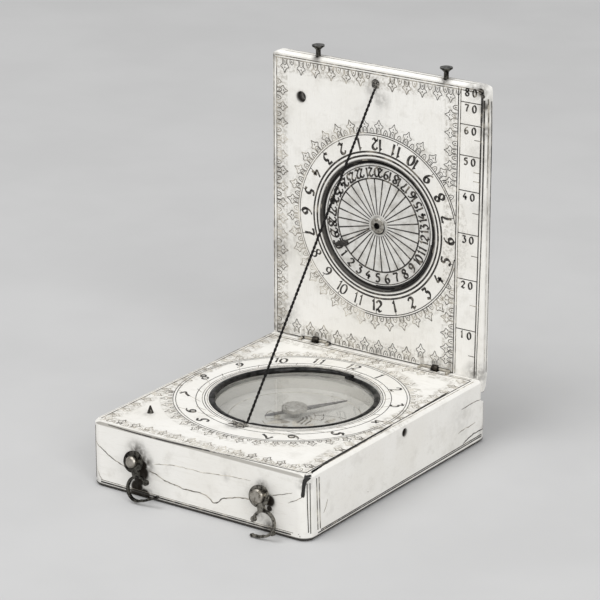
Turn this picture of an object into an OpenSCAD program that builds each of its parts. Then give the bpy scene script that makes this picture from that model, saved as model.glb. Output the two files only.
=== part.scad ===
// Diptych sundial: two thin leaves on wire hinges, with a compass in the lower leaf, a string gnomon
// stretched between the leaves, a lunar disc on the upper leaf and two swinging latch hooks in front.
// Millimetres. The origin is the centre of the underside, +X to the right, +Y to the hinge, +Z up.
// The upper leaf stands open at a right angle.

/* [Leaves] */
// Width of both leaves
leaf_w = 42; // [35:0.5:51]
// Depth of the lower leaf, front to back
base_d = 52.5; // [43:0.5:63]
// Thickness of the lower leaf
base_h = 11; // [9:0.1:14]
// Thickness of the upper leaf
lid_t = 2.2; // [2:0.1:3.2]
// Gap left between the faces of the two leaves when they are shut
shut_gap = 0.25; // [0.2:0.05:0.6]
// How far the upper leaf stops short of the lower leaf's front edge when shut
front_setback = 0.65; // [0:0.05:1.5]
// Length of the upper leaf below the hinge axis
tail_len = 2.45; // [1.5:0.05:3]
// Radius of the upright edges of the lower leaf
corner_r = 2; // [0.8:0.1:3]
// Radius of the upper leaf's two free corners
lid_corner_r = 1.6; // [0.6:0.1:3]
// Broken edge along every other border
edge_c = 0.4; // [0.1:0.05:0.6]

/* [Compass] */
// Radius of the seat that the glass and its ring drop into
glass_seat_r = 13.95; // [11:0.05:16]
// Width of the step that the glass rests on, around the bowl
seat_step = 1; // [0.6:0.1:1.5]
// Distance of the compass centre behind the leaf's centre
compass_y = 0.5; // [-3:0.1:3]
// Depth of the card's floor below the top face
card_depth = 3.8; // [3:0.1:5]
// Thickness of the glass
glass_t = 0.5; // [0.3:0.1:0.8]
// Length of the needle from its pivot to its point
needle_len = 9.6; // [6:0.1:12]
// Bearing of the needle, counted from +X towards +Y
needle_bearing = 61; // [0:1:359]
// Opening of the split ring
ring_split_deg = 5; // [2:1:20]

/* [Lunar disc] */
// Radius of the disc's recess
recess_r = 11.15; // [8:0.05:13]
// Depth of the disc's recess
recess_depth = 0.95; // [0.7:0.05:1.3]
// Gap between the turning disc and the recess around it
disc_room = 0.35; // [0.1:0.05:0.6]
// Thickness of the turning disc
disc_t = 0.55; // [0.3:0.05:0.8]
// Height of the disc's centre above the hinge axis
disc_up = 22.6; // [18:0.1:26]
// Outer radius of the tubular rivet
rivet_r = 1.2; // [0.8:0.05:1.8]
// Radius of the hole through the rivet
rivet_hole_r = 0.53; // [0.3:0.01:0.8]

/* [Latches] */
// Gap between the hanging hooks and the table
hook_floor_gap = 0.15; // [0.05:0.05:0.5]
// Upward slope of the pins, which makes the hanging hooks lean out
pin_slope = 12; // [0:1:14]
// Radius of the hook pins
hook_pin_r = 0.45; // [0.3:0.01:0.6]
// Radius of the studs' necks
stud_r = 0.42; // [0.3:0.01:0.6]
// Thickness of the hooks' metal
hook_t = 0.5; // [0.35:0.05:0.7]
// Width of the hooks' curved arms
arm_w = 0.4; // [0.35:0.05:0.8]
// Angle that the left hook stands swung towards +X
swing_left = 12; // [0:1:30]
// Angle that the right hook stands swung towards +X
swing_right = 20; // [0:1:30]

/* [Gnomon string] */
// Radius of the string
string_r = 0.21; // [0.15:0.01:0.4]
// Distance of the string's upper end below the upper leaf's top edge
string_drop = 3.65; // [3:0.05:8]

/* [Fits] */
// Radial clearance of parts that turn on each other
run_gap = 0.05; // [0.02:0.01:0.1]
// Radial clearance of parts that are fixed in their holes
seat_gap = 0.02; // [0.01:0.01:0.05]

/* [Hidden] */
$fn = 48;
eps = 0.01;

// Leaves
lid_face_y = base_d / 2 - lid_t;
axis_z = base_h + shut_gap;
wall_gap = 0.1;
wall_y = lid_face_y - wall_gap;
tail_gap = 1.3;
ledge_z = axis_z - tail_len - tail_gap;
lid_top_z = axis_z + lid_face_y + base_d / 2 - front_setback;
tail_z = axis_z - tail_len;
half_w = leaf_w / 2;

// Hinges: a staple in the lower leaf carries an eye of the upper leaf
hinge_x = [9.1 - half_w, half_w - 8.9];
hinge_wire_r = 0.22;
staple_half = 2.7;
staple_leg_y = lid_face_y - 0.95;
staple_leg_len = 3.2;
eye_r = 0.62;
eye_w = 1.1;
eye_shank_r = 0.3;
eye_shank_y = lid_face_y + 0.65;
eye_shank_len = 3.4;

// Compass
bowl_r = glass_seat_r - seat_step;
card_z = base_h - card_depth;
card_t = 0.4;
card_gap = 0.05;
ring_wire_r = 0.5;
ring_gap = 0.04;
ring_proud = 0.15;
ring_mid_r = glass_seat_r - ring_gap - ring_wire_r;
ring_split_at = 81;
glass_gap = 0.08;
glass_z = base_h + ring_proud - 2 * ring_wire_r - glass_t;
// the needle's cap stands in the room between the card and the glass
needle_room = glass_z - card_z - card_t;
cap_z = card_z + card_t + 0.29 * needle_room;
cap_gap = 0.15;
cap_h = glass_z - cap_gap - cap_z;
cap_r = 2.1;
cap_neck_r = 1;
cap_edge = 0.2;
bore_top = cap_h - 0.3;
bore_tip = 0.55;
bore_gap = 0.1;
blade_up = 0.27 * cap_h;
needle_z = cap_z + blade_up;
needle_t = 0.25;
needle_tail = 5.4;
needle_hub_r = 1.6;
pivot_r = 0.28;
pivot_foot_r = 0.8;
pivot_foot = 0.3;
pivot_tip = 0.5;
pivot_root = 1.6;
pivot_top_z = cap_z + bore_top - 0.05;

// Locating cone and its hole
cone_at = [6 - half_w, 7.95 - base_d / 2];
cone_r = 0.55;
cone_h = 1.2;
cone_root_r = 0.35;
cone_root = 1.5;
cone_hole_r = 0.95;
cone_hole_depth = lid_t - 0.5;
cone_hole_z = axis_z + lid_face_y - cone_at[1];

// Side hole
side_hole_r = 0.7;
side_hole_len = 5.5;
side_hole_at = [0.9, base_h - 1.55];

// Lunar disc
disc_x = 0.25;
disc_r = recess_r - disc_room;
disc_z = axis_z + disc_up;
disc_lift = 0.03;
disc_back_y = lid_face_y + recess_depth - disc_lift;
disc_front_y = disc_back_y - disc_t;
boss_r = rivet_r + 0.5;
boss_t = 0.22;
washer_room = 0.02;
rivet_lip_t = 0.2;
back_washer_r = rivet_r + 0.8;
back_washer_t = 0.2;
knob_r = 0.6;
knob_half = 0.5;
knob_h = 0.4;
knob_at_r = disc_r - 2.6;
knob_at_deg = 212;

// Latches
hook_x = [9.6 - half_w, half_w - 8.1];
stud_x = [9 - half_w, half_w - 8.1];
hook_side = [1, -1];
hook_swing = [swing_left, swing_right];
// the hooks turn far enough out on the sloping pins to pass the front edge
hook_clear = 0.231;
eye_plane = hook_clear + base_h / 2 * tan(pin_slope);
hook_eye_r = 1.75;
hook_neck_w = 1.1;
pin_head_r = [0.92, 1.15];
pin_head_t = 0.65;
pin_collar_r = 0.8;
collar_foot = pin_collar_r * tan(pin_slope);
pin_root = 3;
stud_inset = stud_r + 0.23;
stud_root = 2.2;
stud_neck = front_setback + 1;
stud_flare = 0.55;
stud_head_r = 1.05;
stud_head_t = 0.25;
stud_shut_z = axis_z + stud_inset;
// the pins stand where the hooks reach the studs when shut and clear the table when hanging
hook_room = stud_r + 0.12;
hook_pin_z = (hook_floor_gap + stud_shut_z + (hook_room + arm_w) * cos(pin_slope)
    + (hook_t / 2 - 2 * eye_plane) * sin(pin_slope)) / 2;
arc_reach = (stud_shut_z - hook_pin_z - eye_plane * sin(pin_slope)) / cos(pin_slope) + hook_room;
arc_r = 1.75;
foot_len = [3.7, 2.5];
foot_rise = [0.85, 0.7];
scroll_deg = 30;
bulb_r = 0.42;

// String
string_sides = 8;
string_rings = 48;
string_low = [0.2, compass_y - glass_seat_r + 0.55, base_h - 0.05];
string_high = [-0.25, lid_face_y - string_r + 0.02, lid_top_z - string_drop];
string_slot_w = 2 * string_r + 0.28;
knot_r = 0.75;
knot_proud = 0.2;
knot_at = [string_high[0], lid_face_y, string_high[2] + 0.9];
knot_root = lid_t - 0.9;
bead_r = 0.75;
bead_proud = 0.2;
bead_at = [string_low[0], string_low[1] - 1.3, base_h];
bead_root = 1.4;

// A cylinder between two points
module rod(a, b, r) {
    d = b - a;
    translate(a)
        rotate([0, acos(d[2] / norm(d)), atan2(d[1], d[0])])
            cylinder(r = r, h = norm(d));
}

// A block with rounded upright edges and broken borders, standing on z = 0
module broken_block(w, d, h, r, c) {
    function profile(half) = [[c - half, 0], [half - c, 0], [half, c], [half, h - c], [half - c, h],
        [c - half, h], [-half, h - c], [-half, c]];
    union() {
        translate([0, d / 2 - r, 0])
            rotate([90, 0, 0])
                linear_extrude(height = d - 2 * r)
                    polygon(profile(w / 2));
        translate([r - w / 2, 0, 0])
            rotate([90, 0, 90])
                linear_extrude(height = w - 2 * r)
                    polygon(profile(d / 2));
        for (sx = [-1, 1], sy = [-1, 1])
            translate([sx * (w / 2 - r), sy * (d / 2 - r), 0]) {
                cylinder(r1 = r - c, r2 = r, h = c);
                translate([0, 0, c])
                    cylinder(r = r, h = h - 2 * c);
                translate([0, 0, h - c])
                    cylinder(r1 = r, r2 = r - c, h = c);
            }
    }
}

// Places its children on a hook pin: local +Z runs out along the pin, local +Y is up
module on_pin(i) {
    translate([hook_x[i], -base_d / 2, hook_pin_z])
        rotate([90 - pin_slope, 0, 0])
            children();
}

module base_leaf() {
    color("ivory")
        difference() {
            broken_block(leaf_w, base_d, base_h, corner_r, edge_c);
            // rebate behind the wall, for the upper leaf's tail
            translate([-half_w - 1, 0, 0])
                rotate([90, 0, 90])
                    linear_extrude(height = leaf_w + 2)
                        polygon([[wall_y, ledge_z], [base_d / 2 + 1, ledge_z - 1.4],
                            [base_d / 2 + 1, base_h + 1], [wall_y, base_h + 1]]);
            // compass bowl and the glass seat above it
            translate([0, compass_y, card_z])
                cylinder(r = bowl_r, h = base_h, $fn = 96);
            translate([0, compass_y, glass_z])
                cylinder(r = glass_seat_r, h = base_h, $fn = 96);
            translate([0, compass_y, card_z - pivot_root])
                cylinder(r = pivot_r + seat_gap, h = base_h);
            // locating cone's hole
            translate([cone_at[0], cone_at[1], base_h - cone_root - 0.1])
                cylinder(r = cone_root_r + seat_gap, h = 2);
            // side hole
            translate([half_w - side_hole_len, side_hole_at[0], side_hole_at[1]])
                rotate([0, 90, 0])
                    cylinder(r = side_hole_r, h = side_hole_len + 1);
            // lower bead's hole and the string's way over the glass seat
            translate(bead_at - [0, 0, bead_root])
                cylinder(r = bead_r + seat_gap, h = 2);
            translate([string_low[0] - string_slot_w / 2, bead_at[1], string_low[2] - string_r - 0.1])
                cube([string_slot_w, 2, 1]);
            // hinge staples' legs, and room for the upper leaf's eyes
            for (x = hinge_x) {
                for (s = [-1, 1])
                    translate([x + s * staple_half, staple_leg_y, base_h - staple_leg_len])
                        cylinder(r = hinge_wire_r + seat_gap, h = staple_leg_len + 1);
                translate([x - eye_w / 2 - 0.25, lid_face_y, axis_z])
                    rotate([0, 90, 0])
                        cylinder(r = eye_r + 0.2, h = eye_w + 0.5);
            }
            // hook pins' holes
            for (i = [0, 1])
                on_pin(i)
                    translate([0, 0, -pin_root])
                        cylinder(r = hook_pin_r + seat_gap, h = pin_root + 1);
        }
}

module compass_card() {
    color("antiquewhite")
        translate([0, compass_y, card_z])
            difference() {
                cylinder(r = bowl_r - card_gap, h = card_t, $fn = 96);
                translate([0, 0, -1])
                    cylinder(r = pivot_r + seat_gap, h = 2);
            }
}

module compass_pivot() {
    color("goldenrod")
        translate([0, compass_y, 0]) {
            translate([0, 0, card_z - pivot_root])
                cylinder(r = pivot_r, h = pivot_top_z - pivot_tip - card_z + pivot_root);
            translate([0, 0, card_z + card_t])
                cylinder(r1 = pivot_foot_r, r2 = pivot_r, h = pivot_foot);
            translate([0, 0, pivot_top_z - pivot_tip])
                cylinder(r1 = pivot_r, r2 = 0.06, h = pivot_tip);
        }
}

module needle_blade() {
    color("slategray")
        translate([0, compass_y, needle_z])
            rotate([0, 0, needle_bearing])
                difference() {
                    union() {
                        linear_extrude(height = needle_t)
                            polygon([[needle_len, 0], [2.6, 0.6], [0, 0.5], [-needle_tail + 0.8, 0.3],
                                [-needle_tail, 0], [-needle_tail + 0.8, -0.3], [0, -0.5], [2.6, -0.6]]);
                        cylinder(r = needle_hub_r, h = needle_t);
                    }
                    translate([0, 0, -1])
                        cylinder(r = cap_neck_r + seat_gap, h = 2);
                }
}

module needle_cap() {
    color("goldenrod")
        translate([0, compass_y, cap_z])
            difference() {
                union() {
                    cylinder(r = cap_neck_r, h = cap_h);
                    translate([0, 0, blade_up + needle_t + seat_gap])
                        cylinder(r = cap_r, h = cap_h - blade_up - needle_t - seat_gap - cap_edge);
                    translate([0, 0, cap_h - cap_edge])
                        cylinder(r1 = cap_r, r2 = cap_r - cap_edge, h = cap_edge);
                }
                translate([0, 0, -1])
                    cylinder(r = pivot_r + bore_gap, h = bore_top - bore_tip + 1);
                translate([0, 0, bore_top - bore_tip - eps])
                    cylinder(r1 = pivot_r + bore_gap, r2 = 0.1, h = bore_tip);
            }
}

module glass_pane() {
    color("lightcyan", 0.35)
        translate([0, compass_y, glass_z])
            cylinder(r = glass_seat_r - glass_gap, h = glass_t, $fn = 96);
}

module retaining_ring() {
    color("dimgray")
        difference() {
            translate([0, compass_y, glass_z + glass_t + ring_wire_r])
                rotate([0, 0, ring_split_at + ring_split_deg / 2])
                    rotate_extrude(angle = 360 - ring_split_deg, $fn = 96)
                        translate([ring_mid_r, 0])
                            circle(r = ring_wire_r, $fn = 32);
            // notch for the string
            translate([string_low[0] - string_slot_w / 2, compass_y - glass_seat_r,
                string_low[2] - string_r - 0.05])
                cube([string_slot_w, 3, 1]);
        }
}

module cone_pin() {
    color("goldenrod")
        translate([cone_at[0], cone_at[1], base_h]) {
            cylinder(r1 = cone_r, r2 = 0.12, h = cone_h);
            translate([0, 0, -cone_root])
                cylinder(r = cone_root_r, h = cone_root + 0.1);
        }
}

module string_bead_low() {
    color("black")
        translate(bead_at - [0, 0, bead_root])
            cylinder(r = bead_r, h = bead_root + bead_proud);
}

module hinge_staple(x) {
    a = [x - staple_half, lid_face_y, axis_z];
    b = [x + staple_half, lid_face_y, axis_z];
    back = [0, staple_leg_y - lid_face_y, 0];
    down = [0, 0, -staple_leg_len + 0.1 - shut_gap];
    color("goldenrod")
        union() {
            rod(a, b, hinge_wire_r);
            for (p = [a, b]) {
                rod(p, p + back, hinge_wire_r);
                rod(p + back, p + back + down, hinge_wire_r);
                translate(p)
                    sphere(r = hinge_wire_r);
                translate(p + back)
                    sphere(r = hinge_wire_r);
            }
        }
}

module hinge_staple_left() { hinge_staple(hinge_x[0]); }
module hinge_staple_right() { hinge_staple(hinge_x[1]); }

module hook_pin(i) {
    color("goldenrod")
        on_pin(i) {
            translate([0, 0, 0.1 - pin_root])
                cylinder(r = hook_pin_r, h = pin_root + eye_plane + hook_t / 2 + 0.2);
            translate([0, 0, collar_foot])
                cylinder(r = pin_collar_r, h = eye_plane - hook_t / 2 - 0.05 - collar_foot);
            translate([0, 0, eye_plane + hook_t / 2 + 0.05])
                cylinder(r = pin_head_r[i], h = pin_head_t - 0.2);
            translate([0, 0, eye_plane + hook_t / 2 + pin_head_t - 0.15])
                cylinder(r1 = pin_head_r[i], r2 = pin_head_r[i] - 0.25, h = 0.2);
        }
}

module hook_pin_left() { hook_pin(0); }
module hook_pin_right() { hook_pin(1); }

// The upper leaf's outline, seen from the front
module lid_outline() {
    r = lid_corner_r;
    for (s = [-1, 1])
        translate([s * (half_w - r), lid_top_z - r])
            circle(r = r);
    translate([-half_w, tail_z])
        square([leaf_w, lid_top_z - r - tail_z]);
    translate([-half_w + r, tail_z])
        square([leaf_w - 2 * r, lid_top_z - tail_z]);
}

module lid_leaf() {
    back = base_d / 2;
    face = lid_face_y;
    profile = [[face, tail_z + 0.35], [face + 0.3, tail_z], [back - 1.35, tail_z],
        [back - 0.85, tail_z + 0.75], [back - 0.4, tail_z + 2.6], [back, axis_z + 5.5],
        [back, lid_top_z - 0.6], [back - 0.6, lid_top_z], [face + edge_c, lid_top_z],
        [face, lid_top_z - edge_c]];
    color("ivory")
        difference() {
            intersection() {
                translate([0, back, 0])
                    rotate([90, 0, 0])
                        linear_extrude(height = lid_t)
                            lid_outline();
                translate([-half_w, 0, 0])
                    rotate([90, 0, 90])
                        linear_extrude(height = leaf_w)
                            polygon(profile);
                translate([0, 0, tail_z])
                    linear_extrude(height = lid_top_z)
                        polygon([[-half_w + edge_c, face], [half_w - edge_c, face], [half_w, face + edge_c],
                            [half_w, back - edge_c], [half_w - edge_c, back], [-half_w + edge_c, back],
                            [-half_w, back - edge_c], [-half_w, face + edge_c]]);
            }
            // disc recess and rivet hole
            translate([disc_x, face + recess_depth, disc_z])
                rotate([90, 0, 0])
                    cylinder(r = recess_r, h = recess_depth + 1, $fn = 96);
            translate([disc_x, back + 1, disc_z])
                rotate([90, 0, 0])
                    cylinder(r = rivet_r + seat_gap, h = lid_t + 2);
            translate([disc_x, back - back_washer_t, disc_z])
                rotate([-90, 0, 0])
                    cylinder(r = back_washer_r + seat_gap, h = 1);
            // hole for the locating cone
            translate([cone_at[0], face + cone_hole_depth, cone_hole_z])
                rotate([90, 0, 0])
                    cylinder(r = cone_hole_r, h = cone_hole_depth + 1);
            // upper knot's hole
            translate(knot_at + [0, knot_root, 0])
                rotate([90, 0, 0])
                    cylinder(r = knot_r + seat_gap, h = 2);
            // room for the hinge staples, their arms and the eyes
            for (x = hinge_x) {
                translate([x - staple_half - hinge_wire_r - 0.15, face, axis_z])
                    rotate([0, 90, 0])
                        cylinder(r = hinge_wire_r + 0.12, h = 2 * (staple_half + hinge_wire_r + 0.15));
                for (s = [-1, 1])
                    translate([x + s * staple_half, face, axis_z])
                        cylinder(r = hinge_wire_r + 0.14, h = 1.4);
                translate([x - eye_w / 2 - seat_gap, face, axis_z])
                    rotate([0, 90, 0])
                        cylinder(r = eye_r + seat_gap, h = eye_w + 2 * seat_gap);
                translate([x, eye_shank_y, axis_z])
                    cylinder(r = eye_shank_r + seat_gap, h = eye_shank_len + 0.1);
            }
            // studs' holes in the top edge
            for (x = stud_x)
                translate([x, face + stud_inset, lid_top_z - stud_root])
                    cylinder(r = stud_r + seat_gap, h = stud_root + 1);
        }
}

module lid_eye(x) {
    color("goldenrod")
        difference() {
            union() {
                translate([x - eye_w / 2, lid_face_y, axis_z])
                    rotate([0, 90, 0])
                        cylinder(r = eye_r, h = eye_w);
                translate([x, eye_shank_y, axis_z])
                    cylinder(r = eye_shank_r, h = eye_shank_len);
            }
            translate([x - eye_w, lid_face_y, axis_z])
                rotate([0, 90, 0])
                    cylinder(r = hinge_wire_r + run_gap, h = 2 * eye_w);
        }
}

module lid_eye_left() { lid_eye(hinge_x[0]); }
module lid_eye_right() { lid_eye(hinge_x[1]); }

module stud(x) {
    color("goldenrod")
        translate([x, lid_face_y + stud_inset, lid_top_z]) {
            translate([0, 0, 0.1 - stud_root])
                cylinder(r = stud_r, h = stud_root + stud_neck - 0.1 - stud_flare);
            translate([0, 0, stud_neck - stud_flare])
                cylinder(r1 = stud_r, r2 = stud_head_r - 0.1, h = stud_flare);
            translate([0, 0, stud_neck])
                cylinder(r = stud_head_r, h = stud_head_t);
        }
}

module stud_left() { stud(stud_x[0]); }
module stud_right() { stud(stud_x[1]); }

module string_knot_high() {
    color("black")
        translate(knot_at + [0, knot_root, 0])
            rotate([90, 0, 0])
                cylinder(r = knot_r, h = knot_root + knot_proud);
}

module disc_rivet() {
    front = disc_front_y - washer_room - boss_t - rivet_lip_t;
    back = base_d / 2;
    color("goldenrod")
        translate([disc_x, back, disc_z])
            rotate([90, 0, 0])
                difference() {
                    union() {
                        cylinder(r = rivet_r, h = back - front - rivet_lip_t);
                        translate([0, 0, back - front - rivet_lip_t])
                            cylinder(r1 = rivet_r + 0.15, r2 = rivet_r - 0.15, h = rivet_lip_t);
                    }
                    translate([0, 0, -1])
                        cylinder(r = rivet_hole_r, h = back - front + 2);
                }
}

module rivet_front_washer() {
    color("gainsboro")
        translate([disc_x, disc_front_y - washer_room, disc_z])
            rotate([90, 0, 0])
                difference() {
                    cylinder(r = boss_r, h = boss_t);
                    translate([0, 0, -1])
                        cylinder(r = rivet_r + seat_gap, h = 2);
                }
}

module rivet_back_washer() {
    color("goldenrod")
        translate([disc_x, base_d / 2 - back_washer_t, disc_z])
            rotate([-90, 0, 0])
                difference() {
                    cylinder(r = back_washer_r, h = back_washer_t);
                    translate([0, 0, -1])
                        cylinder(r = rivet_r + seat_gap, h = 2);
                }
}

module lunar_disc() {
    color("silver")
        translate([disc_x, disc_back_y, disc_z])
            rotate([90, 0, 0])
                difference() {
                    cylinder(r = disc_r, h = disc_t, $fn = 96);
                    translate([0, 0, -1])
                        cylinder(r = rivet_r + run_gap, h = 3);
                }
}

module disc_knob() {
    color("dimgray")
        translate([disc_x, disc_front_y, disc_z])
            rotate([90, 0, 0])
                rotate([0, 0, knob_at_deg])
                    translate([knob_at_r, 0, 0]) {
                        for (s = [-1, 1])
                            translate([s * knob_half, 0, 0])
                                cylinder(r = knob_r, h = knob_h);
                        translate([-knob_half, -knob_r, 0])
                            cube([2 * knob_half, 2 * knob_r, knob_h]);
                    }
}

// A hook in the pin's frame: hole at the origin, curved arm below, opening towards +X
module hook_shape(offset_x, foot, rise, bulb) {
    cy = arc_r - arc_reach;
    outer = arc_r + arm_w;
    color("darkgoldenrod")
        translate([0, 0, eye_plane - hook_t / 2])
            difference() {
                union() {
                    cylinder(r = hook_eye_r, h = hook_t);
                    linear_extrude(height = hook_t)
                        polygon([[-hook_neck_w / 2, 0], [hook_neck_w / 2, 0],
                            [offset_x + hook_neck_w / 2, cy + arc_r + 0.1],
                            [offset_x - hook_neck_w / 2 - 0.2, cy + arc_r + 0.1]]);
                    difference() {
                        translate([offset_x, cy, 0])
                            cylinder(r = outer, h = hook_t, $fn = 72);
                        translate([offset_x, cy, -1])
                            cylinder(r = arc_r, h = hook_t + 2, $fn = 72);
                        translate([offset_x, cy, -1])
                            linear_extrude(height = hook_t + 2)
                                polygon([[0, 0], [4, -4 * tan(70)], [8, -4], [8, 4],
                                    [4, 4 * tan(scroll_deg)]]);
                    }
                    // scroll at the arm's upper end
                    translate([offset_x + (arc_r + arm_w / 2) * cos(scroll_deg),
                        cy + (arc_r + arm_w / 2) * sin(scroll_deg), 0])
                        cylinder(r = 0.45, h = hook_t);
                    // foot that runs on from the arm's lower end, with its rounded tip
                    linear_extrude(height = hook_t)
                        polygon([[offset_x - 0.2, cy - outer], [offset_x + 1.2, cy - outer + 0.08],
                            [offset_x + foot, cy - outer + rise - 0.2],
                            [offset_x + foot, cy - outer + rise + 0.2],
                            [offset_x + 1.2, cy - outer + 0.5], [offset_x, cy - arc_r]]);
                    translate([offset_x + foot, cy - outer + rise, 0])
                        cylinder(r = 0.28, h = hook_t);
                    // bulb on the arm's outer side
                    if (bulb)
                        translate([offset_x - outer * cos(50), cy - outer * sin(50), 0])
                            cylinder(r = bulb_r, h = hook_t);
                }
                translate([0, 0, -1])
                    cylinder(r = hook_pin_r + run_gap, h = hook_t + 2);
            }
}

module latch_hook(i) {
    on_pin(i)
        rotate([0, 0, hook_swing[i]])
            mirror([hook_side[i] < 0 ? 1 : 0, 0, 0])
                hook_shape(abs(stud_x[i] - hook_x[i]), foot_len[i], foot_rise[i], i == 1);
}

module latch_hook_left() { latch_hook(0); }
module latch_hook_right() { latch_hook(1); }

// The string as a tube of rings along its route: out of the bead, then straight up to the knot
module gnomon_string() {
    route = concat([bead_at + [0, 0.3, string_low[2] - base_h]],
        [for (k = [0 : string_rings]) string_low + (string_high - string_low) * k / string_rings]);
    last = len(route) - 1;
    function unit(v) = v / norm(v);
    function along(k) = unit((k < last ? unit(route[k + 1] - route[k]) : [0, 0, 0])
        + (k > 0 ? unit(route[k] - route[k - 1]) : [0, 0, 0]));
    function side(k) = unit([1, 0, 0] - along(k) * along(k)[0]);
    points = [for (k = [0 : last], j = [0 : string_sides - 1])
        let (a = 360 * j / string_sides)
        route[k] + string_r * (cos(a) * side(k) + sin(a) * cross(along(k), side(k)))];
    sides = [for (k = [0 : last - 1], j = [0 : string_sides - 1])
        let (n = (j + 1) % string_sides, p = k * string_sides, q = p + string_sides)
        [p + n, p + j, q + j, q + n]];
    ends = [[for (j = [0 : string_sides - 1]) j],
        [for (j = [string_sides - 1 : -1 : 0]) last * string_sides + j]];
    color("black")
        polyhedron(points = points, faces = concat(sides, ends));
}

base_leaf();
compass_card();
compass_pivot();
needle_blade();
needle_cap();
glass_pane();
retaining_ring();
cone_pin();
string_bead_low();
hinge_staple_left();
hinge_staple_right();
hook_pin_left();
hook_pin_right();
lid_leaf();
lid_eye_left();
lid_eye_right();
stud_left();
stud_right();
string_knot_high();
disc_rivet();
rivet_front_washer();
rivet_back_washer();
lunar_disc();
disc_knob();
latch_hook_left();
latch_hook_right();
gnomon_string();
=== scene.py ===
import math

import bmesh
import bpy
from mathutils import Matrix, Vector, noise


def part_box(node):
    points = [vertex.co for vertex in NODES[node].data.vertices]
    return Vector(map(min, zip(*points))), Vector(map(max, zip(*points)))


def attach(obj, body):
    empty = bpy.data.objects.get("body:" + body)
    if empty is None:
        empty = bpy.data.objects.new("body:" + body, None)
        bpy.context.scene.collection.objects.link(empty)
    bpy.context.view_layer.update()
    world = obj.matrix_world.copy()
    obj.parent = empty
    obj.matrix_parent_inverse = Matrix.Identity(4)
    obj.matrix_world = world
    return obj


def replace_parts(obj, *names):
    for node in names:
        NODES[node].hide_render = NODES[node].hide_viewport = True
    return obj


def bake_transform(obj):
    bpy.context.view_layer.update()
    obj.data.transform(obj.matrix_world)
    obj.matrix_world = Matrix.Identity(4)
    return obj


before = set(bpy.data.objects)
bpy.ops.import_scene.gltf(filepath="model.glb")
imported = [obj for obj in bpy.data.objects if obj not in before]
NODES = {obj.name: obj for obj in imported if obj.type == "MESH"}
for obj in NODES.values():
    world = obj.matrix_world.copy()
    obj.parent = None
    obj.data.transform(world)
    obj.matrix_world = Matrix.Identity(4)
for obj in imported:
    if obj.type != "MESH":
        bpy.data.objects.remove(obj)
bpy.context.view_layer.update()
MM = 0.001


def corners(node):
    """A node's lowest and highest corners in millimetres."""
    return [[round(value / MM, 2) for value in corner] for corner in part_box(node)]


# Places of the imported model, in millimetres
HALF_W, HALF_D, BASE_H = corners("base_leaf")[1]
LID_FACE = corners("lid_leaf")[0][1]
LID_BACK, LID_TOP = corners("lid_leaf")[1][1:]
DISC_LOW, DISC_HIGH = corners("lunar_disc")
DISC_FACE = DISC_LOW[1]
DISC = Vector(((DISC_LOW[0] + DISC_HIGH[0]) / 2, (DISC_LOW[2] + DISC_HIGH[2]) / 2))
CARD_TOP = corners("compass_card")[1][2]
COMPASS_Y = 0.5
BOWL_R = 13.3
RECESS_FLOOR = 25.0
EDGE = 0.4
CORNER = 2.0

# Camera, fitted to the photograph
EYE = Vector((266.44, -381.85, 191.36))
azimuth, elevation, roll = (math.radians(a) for a in (34.761, 19.357, -0.039))
ahead = Vector((-math.sin(azimuth) * math.cos(elevation), math.cos(azimuth) * math.cos(elevation),
                -math.sin(elevation)))
right = Vector((math.cos(azimuth), math.sin(azimuth), 0))
up = right.cross(ahead)
image_x = math.cos(roll) * right + math.sin(roll) * up
image_y = math.cos(roll) * up - math.sin(roll) * right
camera_data = bpy.data.cameras.new("camera")
camera_data.lens = 184.93
camera_data.sensor_width = 36
camera_data.clip_start = 0.01
camera = bpy.data.objects.new("camera", camera_data)
bpy.context.scene.collection.objects.link(camera)
camera.matrix_world = Matrix.Translation(EYE * MM) @ Matrix(
    (image_x, image_y, -ahead)).transposed().to_4x4()
bpy.context.scene.camera = camera


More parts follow.
